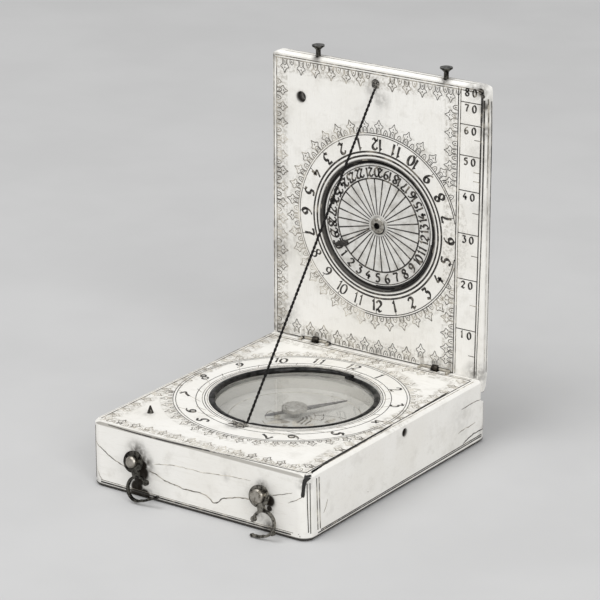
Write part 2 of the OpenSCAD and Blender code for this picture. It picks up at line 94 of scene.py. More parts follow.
# Materials
class Shader:
    """A procedural material around one Principled shader, with coordinates in millimetres."""

    def __init__(self, name):
        self.material = bpy.data.materials.new(name)
        self.material.use_nodes = True
        self.tree = self.material.node_tree
        self.tree.nodes.clear()
        self.out = self.put("OutputMaterial")
        self.main = self.put("BsdfPrincipled")
        self.tree.links.new(self.main.outputs[0], self.out.inputs[0])
        self.mm = self.put("VectorMath", {0: self.put("TexCoord").outputs["Object"], 1: (1000,) * 3},
                           operation="MULTIPLY").outputs[0]

    def put(self, kind, ins=None, **settings):
        node = self.tree.nodes.new("ShaderNode" + kind)
        for key, value in settings.items():
            setattr(node, key, value)
        for key, value in (ins or {}).items():
            self.feed(node.inputs[key], value)
        return node

    def feed(self, socket, value):
        if isinstance(value, bpy.types.NodeSocket):
            self.tree.links.new(value, socket)
        else:
            socket.default_value = value

    def set(self, **values):
        for key, value in values.items():
            self.feed(self.main.inputs[key.replace("_", " ")], value)

    def noise(self, scale, detail=3, stretch=None, offset=(0, 0, 0), roughness=0.55):
        where = self.mm
        if stretch or any(offset):
            where = self.put("Mapping", {0: where, 1: offset, 3: stretch or (1, 1, 1)}).outputs[0]
        return self.put("TexNoise", {"Vector": where, "Scale": scale, "Detail": detail,
                                     "Roughness": roughness}).outputs["Fac"]

    def level(self, value, low, high, to_low=0.0, to_high=1.0):
        return self.put("MapRange", {0: value, 1: low, 2: high, 3: to_low, 4: to_high},
                        interpolation_type="SMOOTHSTEP").outputs[0]

    def math(self, operation, a, b=0.0):
        return self.put("Math", {0: a, 1: b}, operation=operation).outputs[0]

    def mix(self, share, a, b):
        a, b = (c if isinstance(c, bpy.types.NodeSocket) else (*c, 1) for c in (a, b))
        return self.put("Mix", {0: share, 6: a, 7: b}, data_type="RGBA").outputs[2]

    def distance(self, where, point):
        return self.put("VectorMath", {0: where, 1: point}, operation="DISTANCE").outputs["Value"]

    def near(self, point, radius, strength=1.0, soft=1.0):
        """Full at a point and 0 at a radius round it."""
        return self.level(self.distance(self.mm, point), radius * (1 - soft), radius, strength, 0)

    def near_axis(self, keep, point, inner, outer, strength=1.0):
        """Full round a line through a point and 0 further out; keep is 0 along the line and 1 across it."""
        flat = self.put("VectorMath", {0: self.mm, 1: keep}, operation="MULTIPLY").outputs[0]
        return self.level(self.distance(flat, point), inner, outer, strength, 0)

    def band(self, point, inner, outer, strength, soft=0.4):
        """Full between two distances from a point."""
        d = self.distance(self.mm, point)
        rise = self.level(d, inner - soft, inner, 0, strength)
        return self.math("MULTIPLY", rise, self.level(d, outer, outer + soft, 1, 0))

    def frame_band(self, axes, centre, half, width):
        """Full along a rectangle in the plane of two axes."""
        split = self.put("SeparateXYZ", {0: self.mm}).outputs
        sides = [self.math("SUBTRACT", self.math("ABSOLUTE", self.math("SUBTRACT", split[a], c)), h)
                 for a, c, h in zip(axes, centre, half)]
        off = self.math("ABSOLUTE", self.math("MAXIMUM", *sides))
        return self.level(off, width * 0.6, width, 1, 0)

    def bump(self, height, strength, distance=0.1, normal=None):
        ins = {"Height": height, "Strength": strength, "Distance": distance * MM}
        if normal is not None:
            ins["Normal"] = normal
        return self.put("Bump", ins).outputs[0]


def ivory(name, grain, stains_and_shadows, shade_and_dirt_spots, foot, grime_and_shade_rings, border, face, tint=1.0):
    """Old ivory: streaks along the grain, cloudy tone, pores, stains with painted shadows round the hooks,
    black painted shade in holes, grime in one face's ornament, painted shade on the recess wall and in the
    compass bowl, a worn front edge darkened with painted shade, and a painted black contact shadow on the
    lower rim."""
    s = Shader(name)
    cloud = s.noise(0.09, 3)
    streak = s.noise(1.7, 4, stretch=grain)
    fine = s.noise(5.5, 3, stretch=grain, offset=(3, 1, 7))
    pores = s.noise(3.4, 2, offset=(11, 5, 2))
    pale = (0.880 * tint, 0.865 * tint, 0.825 * tint)
    tan = (0.785 * tint, 0.760 * tint, 0.700 * tint)
    colour = s.mix(s.level(cloud, 0.38, 0.72, 0, 0.5), pale, tan)
    colour = s.mix(s.level(streak, 0.54, 0.76, 0, 0.24), colour, (0.70, 0.67, 0.61))
    colour = s.mix(s.level(fine, 0.56, 0.75, 0, 0.18), colour, (0.55, 0.50, 0.42))
    colour = s.mix(s.level(pores, 0.7, 0.78, 0, 0.35), colour, (0.42, 0.36, 0.28))
    haze = s.noise(0.33, 5, offset=(8, 3, 5), roughness=0.65)
    colour = s.mix(s.level(haze, 0.5, 0.72, 0, 0.34), colour, (0.60, 0.575, 0.52))
    dirt = None
    # Stains darken the ivory towards black-brown; on the lower leaf's front some of them are painted shadows
    # of the hooks.
    for x, y, z, radius, strength in stains_and_shadows:
        spot = s.near((x, y, z), radius, strength)
        dirt = spot if dirt is None else s.math("MAXIMUM", dirt, spot)
    rough_edge = s.noise(1.1, 4, offset=(2, 9, 4))
    mask = s.math("MULTIPLY", dirt, s.level(rough_edge, 0.3, 0.62, 0.25, 1.25))
    mask = s.put("Clamp", {0: mask}).outputs[0]
    colour = s.mix(mask, colour, (0.060, 0.052, 0.042))
    grime = s.frame_band(*border)
    black = None
    # A ring stronger than 0.7 is painted black shade, the recess wall round the disc; weaker rings are grime
    # in the ornament.
    for point, inner, outer, strength in grime_and_shade_rings:
        ring = s.band(point, inner, outer, strength)
        if strength > 0.7:
            black = ring
        else:
            grime = s.math("MAXIMUM", grime, ring)
    split = s.put("SeparateXYZ", {0: s.mm}).outputs
    axis, away, near = face
    grime = s.math("MULTIPLY", grime, s.level(split[axis], away, near))
    smear = s.level(s.noise(1.5, 5, offset=(6, 6, 2), roughness=0.7), 0.42, 0.62, 0, 0.5)
    colour = s.mix(s.math("MULTIPLY", grime, smear), colour, (0.30, 0.27, 0.22))
    # Painted shade: the ivory of the compass bowl's wall is dimmed as if shadowed under the glass and ring.
    painted_bowl_shade = s.near_axis((1, 1, 0), (0, COMPASS_Y, 0), BOWL_R - 0.25, BOWL_R, 0.8)
    colour = s.mix(s.math("MULTIPLY", painted_bowl_shade, s.level(split[2], 3.0, 4.0)), colour, (0.50, 0.49, 0.46))
    # Darker along the front top edge: wear, and painted shade that keeps the edge's chamfer from catching the
    # light.
    worn = s.math("MULTIPLY", s.level(split[1], 0.3 - HALF_D, 0.5 - HALF_D, 0.9, 0),
                  s.level(split[2], BASE_H - 0.5, BASE_H - 0.34))
    colour = s.mix(worn, colour, (0.27, 0.255, 0.225))
    # Painted contact shadow: below foot the lower rim turns black, standing in for the shade where the leaf
    # meets the floor.
    low = s.level(s.math("ADD", split[2], s.math("MULTIPLY", rough_edge, 0.12)), foot, foot + 0.16, 0.93, 0)
    black = low if black is None else s.math("MAXIMUM", black, low)
    # Black spots: painted shade inside holes, and dirt with the hooks' painted shadows on the lower leaf's
    # front.
    for x, y, z, radius in shade_and_dirt_spots:
        black = s.math("MAXIMUM", black, s.near((x, y, z), radius, 0.97, 0.35))
    colour = s.mix(black, colour, (0.016, 0.013, 0.010))
    relief = s.math("ADD", s.math("MULTIPLY", fine, 0.5), s.math("MULTIPLY", pores, 0.5))
    # Specular is off where the black painted shade and dirt lie, so the painted shade stays black under the
    # lamps.
    s.set(Base_Color=colour, Specular_IOR_Level=s.level(black, 0, 1, 0.5, 0),
          Roughness=s.math("MAXIMUM", s.level(streak, 0.3, 0.7, 0.36, 0.5), black),
          Normal=s.bump(s.noise(0.35, 2, offset=(5, 5, 5)), 0.18, 0.5, s.bump(relief, 0.3, 0.04)))
    return s.material


def metal(name, bright, dark, patina=0.5, rough=(0.3, 0.55), metallic=1.0, relief=0.35, scale=1.6, dirt=(),
          shaded_hub=None, shaded_rim=None):
    """Aged metal: patina in patches, fine scratches, a softly uneven surface, black dirt in corners and
    painted shade at a hub or rim.
    """
    s = Shader(name)
    patch = s.noise(scale, 4)
    scratch = s.noise(6, 2, stretch=(1, 0.12, 0.7), offset=(4, 2, 8))
    colour = s.mix(s.level(patch, 0.52 - 0.25 * patina, 0.68), bright, dark)
    colour = s.mix(s.level(scratch, 0.58, 0.72, 0, 0.3), colour, [0.6 * c for c in dark])
    for (x, y), z, radius in dirt:
        colour = s.mix(s.near((x, y, z), radius, 0.95, 0.4), colour, (0.012, 0.010, 0.009))
    # Painted shade round a hub: black in the rivet's bore, and on the washer a painted shadow crescent cast
    # by the rivet.
    if shaded_hub:
        x, z, radius, strength = shaded_hub
        hub_shade = s.near_axis((1, 0, 1), (x, 0, z), 0.88 * radius, radius, strength)
        colour = s.mix(hub_shade, colour, (0.006, 0.006, 0.006))
    # Painted shade: past the rim radius the disc's edge is black, for the shade in the gap between disc and
    # recess.
    if shaded_rim:
        middle = s.near_axis((1, 0, 1), (DISC.x, 0, DISC.y), 0.996 * shaded_rim, shaded_rim)
        colour = s.mix(middle, (0.010, 0.009, 0.008), colour)
    s.set(Base_Color=colour, Metallic=metallic, Roughness=s.level(patch, 0.35, 0.7, *rough),
          Normal=s.bump(s.noise(1.3, 3, offset=(7, 7, 1)), relief, 0.12, s.bump(scratch, 0.15, 0.03)))
    return s.material


def pigment(name, dark, worn, share):
    """Black rubbed into engraved lines, partly worn away; the same black also paints shade round the lunar
    disc.
    """
    s = Shader(name)
    gone = s.level(s.noise(0.8, 4, offset=(1, 8, 3)), 0.62 - share, 0.86 - share)
    grit = s.level(s.noise(6, 2), 0.45, 0.7, 0, 0.35)
    colour = s.mix(gone, dark, worn)
    s.set(Base_Color=s.mix(grit, colour, [min(1, 1.5 * c + 0.03) for c in dark]),
          Roughness=s.level(grit, 0, 0.35, 0.55, 0.8), Normal=s.bump(s.noise(5, 2), 0.3, 0.03))
    return s.material


# Each stain is x, y, z, radius and strength, and each black spot x, y, z and radius; some of them are painted
# shade, as noted below
# Lower leaf's stains: the dark ones round the hook pins and down the front under the hooks are dirt with the
# hooks' shadows painted in.
BASE_STAINS_AND_SHADOWS = [
    (-11.6, -26.3, 7.7, 2.9, 0.7), (-10.3, -26.3, 5.9, 2.7, 1.0), (-10.7, -26.3, 3.6, 2.3, 1.0),
    (-11.6, -26.3, 1.2, 2.3, 1.0), (-9.6, -26.3, 0.7, 1.7, 0.8), (12.5, -26.3, 7.5, 1.7, 0.65),
    (13.7, -26.3, 5.4, 1.9, 0.9), (13.8, -26.3, 3.8, 1.3, 0.8), (11.9, -26.3, 2.4, 1.3, 0.7),
    (14.0, -26.3, 0.9, 2.2, 0.8), (-0.4, -15.0, 11.0, 2.6, 0.7), (-14.8, -19.0, 11.0, 1.3, 0.5),
    (-14.7, 24.0, 11.0, 1.3, 0.9), (-11.9, 23.9, 11.0, 1.9, 0.9), (-9.3, 24.0, 11.0, 1.3, 0.9),
    (12.1, 23.9, 11.0, 1.6, 0.9), (-20.5, -26.0, 0.3, 2.6, 0.3), (20.2, -25.8, 9.5, 2.0, 0.5),
    (21.0, 0.9, 9.4, 1.3, 0.35), (21.0, 25.0, 1.6, 2.5, 0.35), (-20, 12, 11, 5, 0.14),
    (-20.5, 20, 11, 6, 0.2), (21, 18, 6, 6, 0.12), (5.6, -26.3, 7.6, 1.3, 0.25),
]
LID_STAINS = [
    (19.9, 24.0, 59.9, 1.5, 1.0), (18.6, 24.0, 60.0, 2.4, 0.6), (20.9, 24.4, 57.4, 2.2, 0.75),
    (20.9, 24.3, 53.4, 2.0, 0.6), (21.0, 25.4, 49.0, 4.0, 0.3), (21.0, 25.6, 40.0, 5.0, 0.22),
    (19.6, 24.8, 60.9, 1.6, 0.8), (0.9, 24.0, 55.6, 2.6, 0.3), (-1.4, 24.0, 57.0, 1.6, 0.3),
    (-20.3, 24.0, 12.5, 3.4, 0.5), (-17.5, 24.0, 11.2, 2.6, 0.4), (20.0, 24.0, 12.0, 3.2, 0.6),
    (-0.3, 24.0, 58.0, 1.7, 0.75), (-15.0, 24.0, 53.6, 1.5, 0.55), (-12.0, 24.3, 60.9, 1.5, 0.8),
    (12.9, 24.3, 60.9, 1.7, 0.8), (-20.6, 24.0, 59.8, 2.0, 0.4), (14.5, 24.0, 11.4, 2.4, 0.45),
    (0.3, 24.0, 11.0, 3.0, 0.25), (-11.9, 24.0, 11.5, 2.2, 0.6), (12.1, 24.0, 11.5, 2.2, 0.6),
    (8.5, 24.0, 44.8, 5.0, 0.1), (-20.8, 24.0, 40.0, 5.0, 0.36), (-20.8, 24.0, 27.0, 6.5, 0.36),
    (-20.6, 24.0, 50.0, 5.0, 0.3), (-18.5, 24.0, 15.0, 4.5, 0.4), (0.3, 26.2, 33.9, 3.2, 0.4),
]
# Lower leaf's black spots: painted shade down the side peg hole, then dirt with the hooks' painted shadows
# round both hook pins.
BASE_SHADE_AND_DIRT_SPOTS = [
    (20.3, 0.9, 9.45, 1.12), (19.2, 0.9, 9.45, 1.5), (17.2, 0.9, 9.45, 1.7), (-10.6, -26.3, 5.6, 1.05),
    (-10.7, -26.3, 4.4, 1.5), (-11.3, -26.3, 3.0, 1.3), (-11.8, -26.3, 1.7, 1.4),
    (-11.9, -26.3, 0.6, 1.5), (-10.3, -26.3, 0.6, 1.3), (12.9, -26.3, 6.2, 1.2),
    (13.9, -26.3, 5.5, 1.2), (13.9, -26.3, 4.2, 0.6),
]
# Upper leaf's black spots: painted shade inside the cone's hole, and dirt at the top right corner.
LID_SHADE_AND_DIRT_SPOTS = [
    (-15.0, 24.85, 53.6, 1.42), (-15.0, 24.3, 53.6, 1.0), (19.95, 24.0, 59.9, 0.62),
    (20.3, 24.0, 59.2, 0.4),
]
ivory_base = ivory("ivory_base", (0.12, 1, 1.3), BASE_STAINS_AND_SHADOWS, BASE_SHADE_AND_DIRT_SPOTS, 0.58,
                   [((-0.3, 0.05, 11.0), 19.5, 21.2, 0.7)],
                   ((0, 1), (-0.2, -1.5), (18.6, 22.9), 1.4), (2, 10.2, 10.8))
# The upper leaf's second ring is painted black shade on the recess wall round the disc.
ivory_lid = ivory("ivory_lid", (1.3, 1, 0.1), LID_STAINS, LID_SHADE_AND_DIRT_SPOTS, 8.85,
                  [((0.25, 24.05, 33.9), 16.1, 17.6, 0.6), ((0.25, 24.5, 33.85), 11.14, 11.3, 0.9)],
                  ((0, 2), (-2.3, 35.5), (16.6, 23.0), 1.4), (1, 25.4, 24.8), 0.99)
ink_and_shade = pigment("engraving_and_shade_black", (0.022, 0.019, 0.016), (0.30, 0.27, 0.22), 0.12)
ink_deep_and_shade = pigment("engraving_deep", (0.010, 0.009, 0.008), (0.030, 0.027, 0.022), 0)
ink_mid = pigment("engraving_grey", (0.10, 0.09, 0.075), (0.50, 0.46, 0.39), 0.2)
ink_faint = pigment("engraving_worn", (0.27, 0.245, 0.205), (0.68, 0.64, 0.56), 0.24)
brass_light = metal("brass_worn_pale", (0.56, 0.53, 0.47), (0.27, 0.245, 0.205), 0.45, (0.32, 0.55))
pin_brass = metal("brass_pin_heads", (0.43, 0.405, 0.36), (0.14, 0.125, 0.10), 0.55, (0.34, 0.58), 0.9)
bronze = metal("brass_dark_patina", (0.30, 0.285, 0.25), (0.020, 0.018, 0.015), 0.66, (0.24, 0.5),
               scale=1.9)
bronze_black = metal("brass_blackened", (0.12, 0.115, 0.10), (0.006, 0.005, 0.005), 0.7, (0.18, 0.42),
                     scale=1.9)
wire = metal("brass_wire_tarnished", (0.075, 0.066, 0.055), (0.018, 0.016, 0.014), 0.8, (0.4, 0.65))
staple_wire = metal("brass_wire_dusty", (0.46, 0.43, 0.37), (0.30, 0.27, 0.22), 0.5, (0.5, 0.7), 0.4, dirt=[
    ((-14.6, 24.0), 11.25, 0.55), ((-9.2, 24.0), 11.25, 0.6), ((-11.9, 24.0), 11.25, 0.9),
    ((12.1, 24.0), 11.25, 1.0)])
ring_black = metal("blackened_wire", (0.040, 0.039, 0.038), (0.010, 0.010, 0.010), 0.6, (0.32, 0.55), 0.9,
                   0.25, 0.9)
# The disc's black edge past its rim radius is painted shade in the gap round it.
disc_metal = metal("disc_metal", (0.77, 0.76, 0.73), (0.58, 0.565, 0.53), 0.3, (0.4, 0.58), 0.3, 0.2, 0.5,
                   shaded_rim=10.74)
# The washer's and the rivet's hubs carry painted shade: a shadow crescent and a black bore.
washer_metal = metal("washer_worn", (0.58, 0.57, 0.54), (0.36, 0.35, 0.32), 0.3, (0.4, 0.58), 0.35, 0.2, 1.2,
                     shaded_hub=(0.42, 33.68, 1.43, 0.97))
rivet_metal = metal("rivet_worn", (0.40, 0.385, 0.35), (0.17, 0.155, 0.13), 0.45, (0.34, 0.55), 0.8, 0.3, 2.2,
                    shaded_hub=(0.23, 33.86, 0.60, 0.98))
blue_steel = metal("needle_steel", (0.17, 0.17, 0.175), (0.10, 0.098, 0.10), 0.5, (0.35, 0.55), 0.6)
cap_metal = metal("cap_brass", (0.42, 0.41, 0.385), (0.26, 0.25, 0.225), 0.4, (0.4, 0.6), 0.4)


def paper():
    """Aged printed paper."""
    s = Shader("card_paper")
    fibre = s.noise(2.6, 4, stretch=(1, 0.4, 1))
    blotch = s.noise(0.22, 3, offset=(4, 0, 1))
    colour = s.mix(s.level(blotch, 0.35, 0.7), (0.66, 0.65, 0.62), (0.56, 0.55, 0.52))
    colour = s.mix(s.level(fibre, 0.5, 0.75, 0, 0.25), colour, (0.46, 0.44, 0.40))
    s.set(Base_Color=colour, Roughness=0.85, Normal=s.bump(fibre, 0.25, 0.05))
    return s.material


def glass():
    """A thin dusty pane: it mirrors by Fresnel and lets the rest straight through."""
    s = Shader("old_glass")
    dust = s.level(s.noise(0.5, 4, stretch=(0.35, 1, 1)), 0.4, 0.75, 0.01, 0.07)
    s.set(Base_Color=(0.75, 0.745, 0.73, 1), Roughness=0.6)
    clear = s.put("BsdfTransparent", {0: (0.95, 0.95, 0.945, 1)})
    wave = s.bump(s.noise(0.12, 2), 0.12, 0.4)
    gloss = s.put("BsdfGlossy", {"Color": (0.95, 0.95, 0.95, 1), "Roughness": 0.03, "Normal": wave})
    outer = s.math("SUBTRACT", 1.0, s.put("NewGeometry").outputs["Backfacing"])
    fresnel = s.math("MULTIPLY", s.put("Fresnel", {"IOR": 1.5}).outputs[0], outer)
    pane = s.put("MixShader", {0: fresnel, 1: clear.outputs[0], 2: gloss.outputs[0]})
    hazy = s.put("MixShader", {0: dust, 1: pane.outputs[0], 2: s.main.outputs[0]})
    s.tree.links.new(hazy.outputs[0], s.out.inputs[0])
    return s.material


def thread():
    """Black waxed thread."""
    s = Shader("waxed_thread")
    hair = s.noise(7, 3)
    s.set(Base_Color=s.mix(s.level(hair, 0.4, 0.75), (0.004, 0.0036, 0.0033), (0.012, 0.0105, 0.009)),
          Roughness=s.level(hair, 0.3, 0.7, 0.65, 0.85), Normal=s.bump(hair, 0.5, 0.05),
          Specular_IOR_Level=0.25)
    return s.material


def wax(name, dark, pale):
    """Wax with dirt pressed into it."""
    s = Shader(name)
    patch = s.noise(2.9, 4)
    s.set(Base_Color=s.mix(s.level(patch, 0.44, 0.62), dark, pale),
          Roughness=s.level(patch, 0.35, 0.7, 0.3, 0.6), Normal=s.bump(s.noise(5, 3), 0.6, 0.08))
    return s.material


card_paper, old_glass, waxed_thread = paper(), glass(), thread()
wax_dirt = wax("wax_and_dirt", (0.016, 0.014, 0.012), (0.34, 0.32, 0.28))
wax_black = wax("wax_black", (0.010, 0.009, 0.008), (0.035, 0.030, 0.025))

# What each CAD node is made of, and how far its edges are rounded
FINISH = {
    ivory_base: ["base_leaf"], ivory_lid: ["lid_leaf"], card_paper: ["compass_card"],
    cap_metal: ["compass_pivot", "needle_cap"], blue_steel: ["needle_blade"], old_glass: ["glass_pane"],
    ring_black: ["retaining_ring"], pin_brass: ["hook_pin_left", "hook_pin_right"],
    brass_light: ["rivet_back_washer"], washer_metal: ["rivet_front_washer"], rivet_metal: ["disc_rivet"],
    disc_metal: ["lunar_disc"], staple_wire: ["hinge_staple_left", "hinge_staple_right"],
    wire: ["lid_eye_left", "lid_eye_right"], bronze: ["latch_hook_right"],
    bronze_black: ["cone_pin", "stud_left", "stud_right", "latch_hook_left"],
}
ROUND = {"base_leaf": 0.16, "lid_leaf": 0.14, "latch_hook_left": 0.11, "latch_hook_right": 0.11,
         "hook_pin_left": 0.09, "hook_pin_right": 0.09, "stud_left": 0.07, "stud_right": 0.07,
         "lunar_disc": 0.05, "rivet_front_washer": 0.04, "rivet_back_washer": 0.04, "needle_cap": 0.06,
         "glass_pane": 0.05, "disc_rivet": 0.04}
for material, names in FINISH.items():
    for name in names:
        node = NODES[name]
        for slot in node.material_slots:
            slot.material = material
        if name in ROUND:
            weld = node.modifiers.new("weld", "WELD")
            weld.merge_threshold = 1e-7
            soft = node.modifiers.new("soft_edges", "BEVEL")
            soft.width = ROUND[name] * MM
            soft.segments = 3
            soft.limit_method = "ANGLE"
            soft.angle_limit = math.radians(35)
            soft.harden_normals = False


# Mesh helpers
def piece(name, verts, faces, material, body=None, slot=None, smooth=True):
    """A new mesh piece from points in millimetres, riding on a body."""
    mesh = bpy.data.meshes.new(name)
    mesh.from_pydata([Vector(v) * MM for v in verts], [], faces)
    mesh.materials.append(material)
    for polygon in mesh.polygons:
        polygon.use_smooth = smooth
    obj = bpy.data.objects.new(name, mesh)
    bpy.context.scene.collection.objects.link(obj)
    if body:
        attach(obj, body)
    return obj


def tube(path, radii, sides=10):
    """Vertices and faces of a closed tube along a path."""
    verts, faces = [], []
    side = None
    for k, p in enumerate(path):
        along = (path[min(k + 1, len(path) - 1)] - path[max(k - 1, 0)]).normalized()
        if side is None:
            side = along.orthogonal().normalized()
        side = (side - along * side.dot(along)).normalized()
        other = along.cross(side)
        r = radii[k] if isinstance(radii, list) else radii
        for j in range(sides):
            a = 2 * math.pi * j / sides
            verts.append(p + r * (math.cos(a) * side + math.sin(a) * other))
    for k in range(len(path) - 1):
        for j in range(sides):
            n = (j + 1) % sides
            faces.append((k * sides + j, k * sides + n, (k + 1) * sides + n, (k + 1) * sides + j))
    faces.append(tuple(reversed(range(sides))))
    faces.append(tuple((len(path) - 1) * sides + j for j in range(sides)))
    return verts, faces


def joined(parts):
    """Several meshes' vertices and faces as one."""
    verts, faces = [], []
    for v, f in parts:
        base = len(verts)
        verts += v
        faces += [tuple(i + base for i in face) for face in f]
    return verts, faces


def smooth_line(points, steps=5):
    """A Catmull-Rom curve through points."""
    if len(points) < 3:
        return list(points)
    out = []
    for i in range(len(points) - 1):
        p0, p1 = points[max(i - 1, 0)], points[i]
        p2, p3 = points[i + 1], points[min(i + 2, len(points) - 1)]
        for k in range(steps):
            t = k / steps
            out.append(tuple(0.5 * (2 * b + (c - a) * t + (2 * a - 5 * b + 4 * c - d) * t * t
                                    + (3 * b - a - 3 * c + d) * t ** 3)
                             for a, b, c, d in zip(p0, p1, p2, p3)))
    out.append(tuple(points[-1]))
    return out


# Engraving: where a point of each face lies, u and v along the face and h proud of it
def broken(v):
    """How far the broken borders of the lower leaf's sides lie in at a height."""
    return max(0, EDGE - v, v - BASE_H + EDGE)


def on_side(half, along, v, h):
    """Where a side of the lower leaf lies, along it and out of it, with its rounded upright edges."""
    h -= broken(v)
    past = max(0, abs(along) - (half - CORNER))
    turn = math.asin(min(1, past / CORNER))
    return (math.copysign(min(abs(along), half - CORNER) + (CORNER + h) * math.sin(turn), along),
            h * math.cos(turn) + CORNER * (math.cos(turn) - 1))


def top_place(u, v, h):
    past = math.hypot(max(0, abs(u) - HALF_W + CORNER), max(0, abs(v) - HALF_D + CORNER))
    return u, v, BASE_H + h - max(0, past - CORNER + EDGE)


def front_place(u, v, h):
    along, out = on_side(HALF_W, u, v, h)
    return along, -HALF_D - out, v


def right_place(u, v, h):
    along, out = on_side(HALF_D, u, v, h)
    return HALF_W + out, along, v


def left_place(u, v, h):
    along, out = on_side(HALF_D, -u, v, h)
    return -HALF_W - out, along, v


def back_place(u, v, h):
    along, out = on_side(HALF_W, -u, v, h)
    return along, HALF_D + out, v


def corner_place(u, v, h):
    """The front right edge, measured round its curve."""
    r, turn = CORNER + h - broken(v), u / CORNER
    return HALF_W - CORNER + r * math.sin(turn), -HALF_D + CORNER - r * math.cos(turn), v


PLANES = {
    "base_top": ("base", top_place),
    "base_front": ("base", front_place),
    "base_right": ("base", right_place),
    "base_corner": ("base", corner_place),
    "base_left": ("base", left_place),
    "base_back": ("base", back_place),
    "lid_side": ("lid", lambda u, v, h: (HALF_W + h, u, v)),
    "lid_top": ("lid", lambda u, v, h: (u, v, LID_TOP + h)),
    "recess": ("lid", lambda u, v, h: (u, RECESS_FLOOR - h, v)),
    "card": ("base", lambda u, v, h: (u, v, CARD_TOP + h)),
    "lid_front": ("lid", lambda u, v, h: (u, LID_FACE - h, v)),
    "lid_back": ("lid", lambda u, v, h: (-u, LID_BACK + h, v)),
    "disc": ("moon", lambda u, v, h: (u, DISC_FACE - h, v)),
}
INKS = {"": ink_and_shade, "_mid": ink_mid, "_faint": ink_faint, "_deep": ink_deep_and_shade}
PROUD, DEEP = 0.02, 0.06
strokes = {}


def stroke(plane, points, width, tone="", closed=False):
    """One inlaid stroke of a plane: a thin closed ribbon, a hair proud of the surface."""
    pts = [Vector(p[:2]) for p in points]
    n = len(pts)
    widths = width if isinstance(width, list) else [width] * n
    lefts, rights = [], []
    for k in range(n):
        before = pts[(k - 1) % n] if closed or k else None
        after = pts[(k + 1) % n] if closed or k < n - 1 else None
        d1 = (pts[k] - before).normalized() if before is not None else (after - pts[k]).normalized()
        d2 = (after - pts[k]).normalized() if after is not None else d1
        d = d1 + d2
        d = d.normalized() if d.length > 0.2 else d2
        half = widths[k] / 2 / max(0.6, d.dot(d2))
        across = Vector((-d.y, d.x)) * half
        lefts.append(pts[k] + across)
        rights.append(pts[k] - across)
    strokes.setdefault((plane, tone), []).append((lefts, rights, closed))


def ray(degrees, length=1.0):
    """A flat vector of a length at an angle."""
    a = math.radians(degrees)
    return Vector((length * math.cos(a), length * math.sin(a)))


def circle(plane, centre, r, width, tone="", start=0, end=360, step=4):
    """A circle or arc."""
    whole = end - start >= 360
    count = max(2, round((end - start) / step))
    angles = [start + (end - start) * k / count for k in range(count + (0 if whole else 1))]
    stroke(plane, [Vector(centre) + ray(a, r) for a in angles], width, tone, whole)


def placed(points, at, turn, scale=1.0):
    """Points turned by degrees and moved to a place."""
    c, s = math.cos(math.radians(turn)) * scale, math.sin(math.radians(turn)) * scale
    return [(at[0] + c * p[0] - s * p[1], at[1] + s * p[0] + c * p[1]) for p in points]


LOOP = [(0.28 * math.cos(a / 10 * math.tau), 0.5 * math.sin(a / 10 * math.tau)) for a in range(11)]
DIGITS = {
    "0": [LOOP],
    "1": [[(-0.14, 0.32), (0.02, 0.5), (0.02, -0.5)]],
    "2": [[(-0.26, 0.26), (-0.1, 0.48), (0.18, 0.42), (0.22, 0.15), (-0.05, -0.2), (-0.28, -0.46)],
          [(-0.28, -0.46), (-0.1, -0.36), (0.12, -0.5), (0.3, -0.38)]],
    "3": [[(-0.24, 0.5), (0.26, 0.47)], [(0.26, 0.47), (-0.02, 0.1)],
          [(-0.02, 0.1), (0.22, 0.04), (0.26, -0.25), (0.04, -0.5), (-0.26, -0.38)]],
    "4": [[(0.08, 0.5), (-0.3, -0.12)], [(-0.3, -0.12), (0.32, -0.12)], [(0.12, 0.12), (0.1, -0.5)]],
    "5": [[(0.28, 0.5), (-0.14, 0.46)], [(-0.14, 0.46), (-0.18, 0.08)],
          [(-0.18, 0.08), (0.1, 0.1), (0.24, -0.16), (0.08, -0.46), (-0.26, -0.42)]],
    "6": [[(0.22, 0.5), (-0.08, 0.32), (-0.26, -0.1), (-0.16, -0.44), (0.08, -0.5), (0.24, -0.26),
           (0.1, -0.02), (-0.14, -0.06), (-0.24, -0.2)]],
    "7": [[(-0.26, 0.36), (-0.22, 0.5), (0.28, 0.46)], [(0.28, 0.46), (0.04, 0.02), (-0.06, -0.5)]],
    "8": [[(0.02, 0.04), (-0.2, 0.2), (-0.12, 0.46), (0.14, 0.46), (0.2, 0.2), (-0.02, 0.04),
           (-0.25, -0.2), (-0.14, -0.48), (0.16, -0.48), (0.24, -0.2), (0.02, 0.04)]],
    "9": [[(-0.22, -0.5), (0.08, -0.32), (0.26, 0.1), (0.16, 0.44), (-0.08, 0.5), (-0.24, 0.26),
           (-0.1, 0.02), (0.14, 0.06), (0.24, 0.2)]],
}
NIB = math.radians(35)


def number(plane, text, at, height, turn=0, pen=(0.09, 0.25), tone="", spread=0.66):
    """A number written with a broad nib: strokes thicken across the nib's angle."""
    for i, digit in enumerate(text):
        shift = (i - (len(text) - 1) / 2) * spread
        for line in DIGITS[digit]:
            line = smooth_line(line, 4) if len(line) > 3 else line
            widths = []
            for k in range(len(line)):
                a, b = line[max(k - 1, 0)], line[min(k + 1, len(line) - 1)]
                along = math.atan2(b[1] - a[1], b[0] - a[0])
                widths.append(height * (pen[0] + (pen[1] - pen[0]) * abs(math.sin(along - NIB))))
            stroke(plane, placed([(x + shift, y) for x, y in line], at, turn, height), widths, tone)


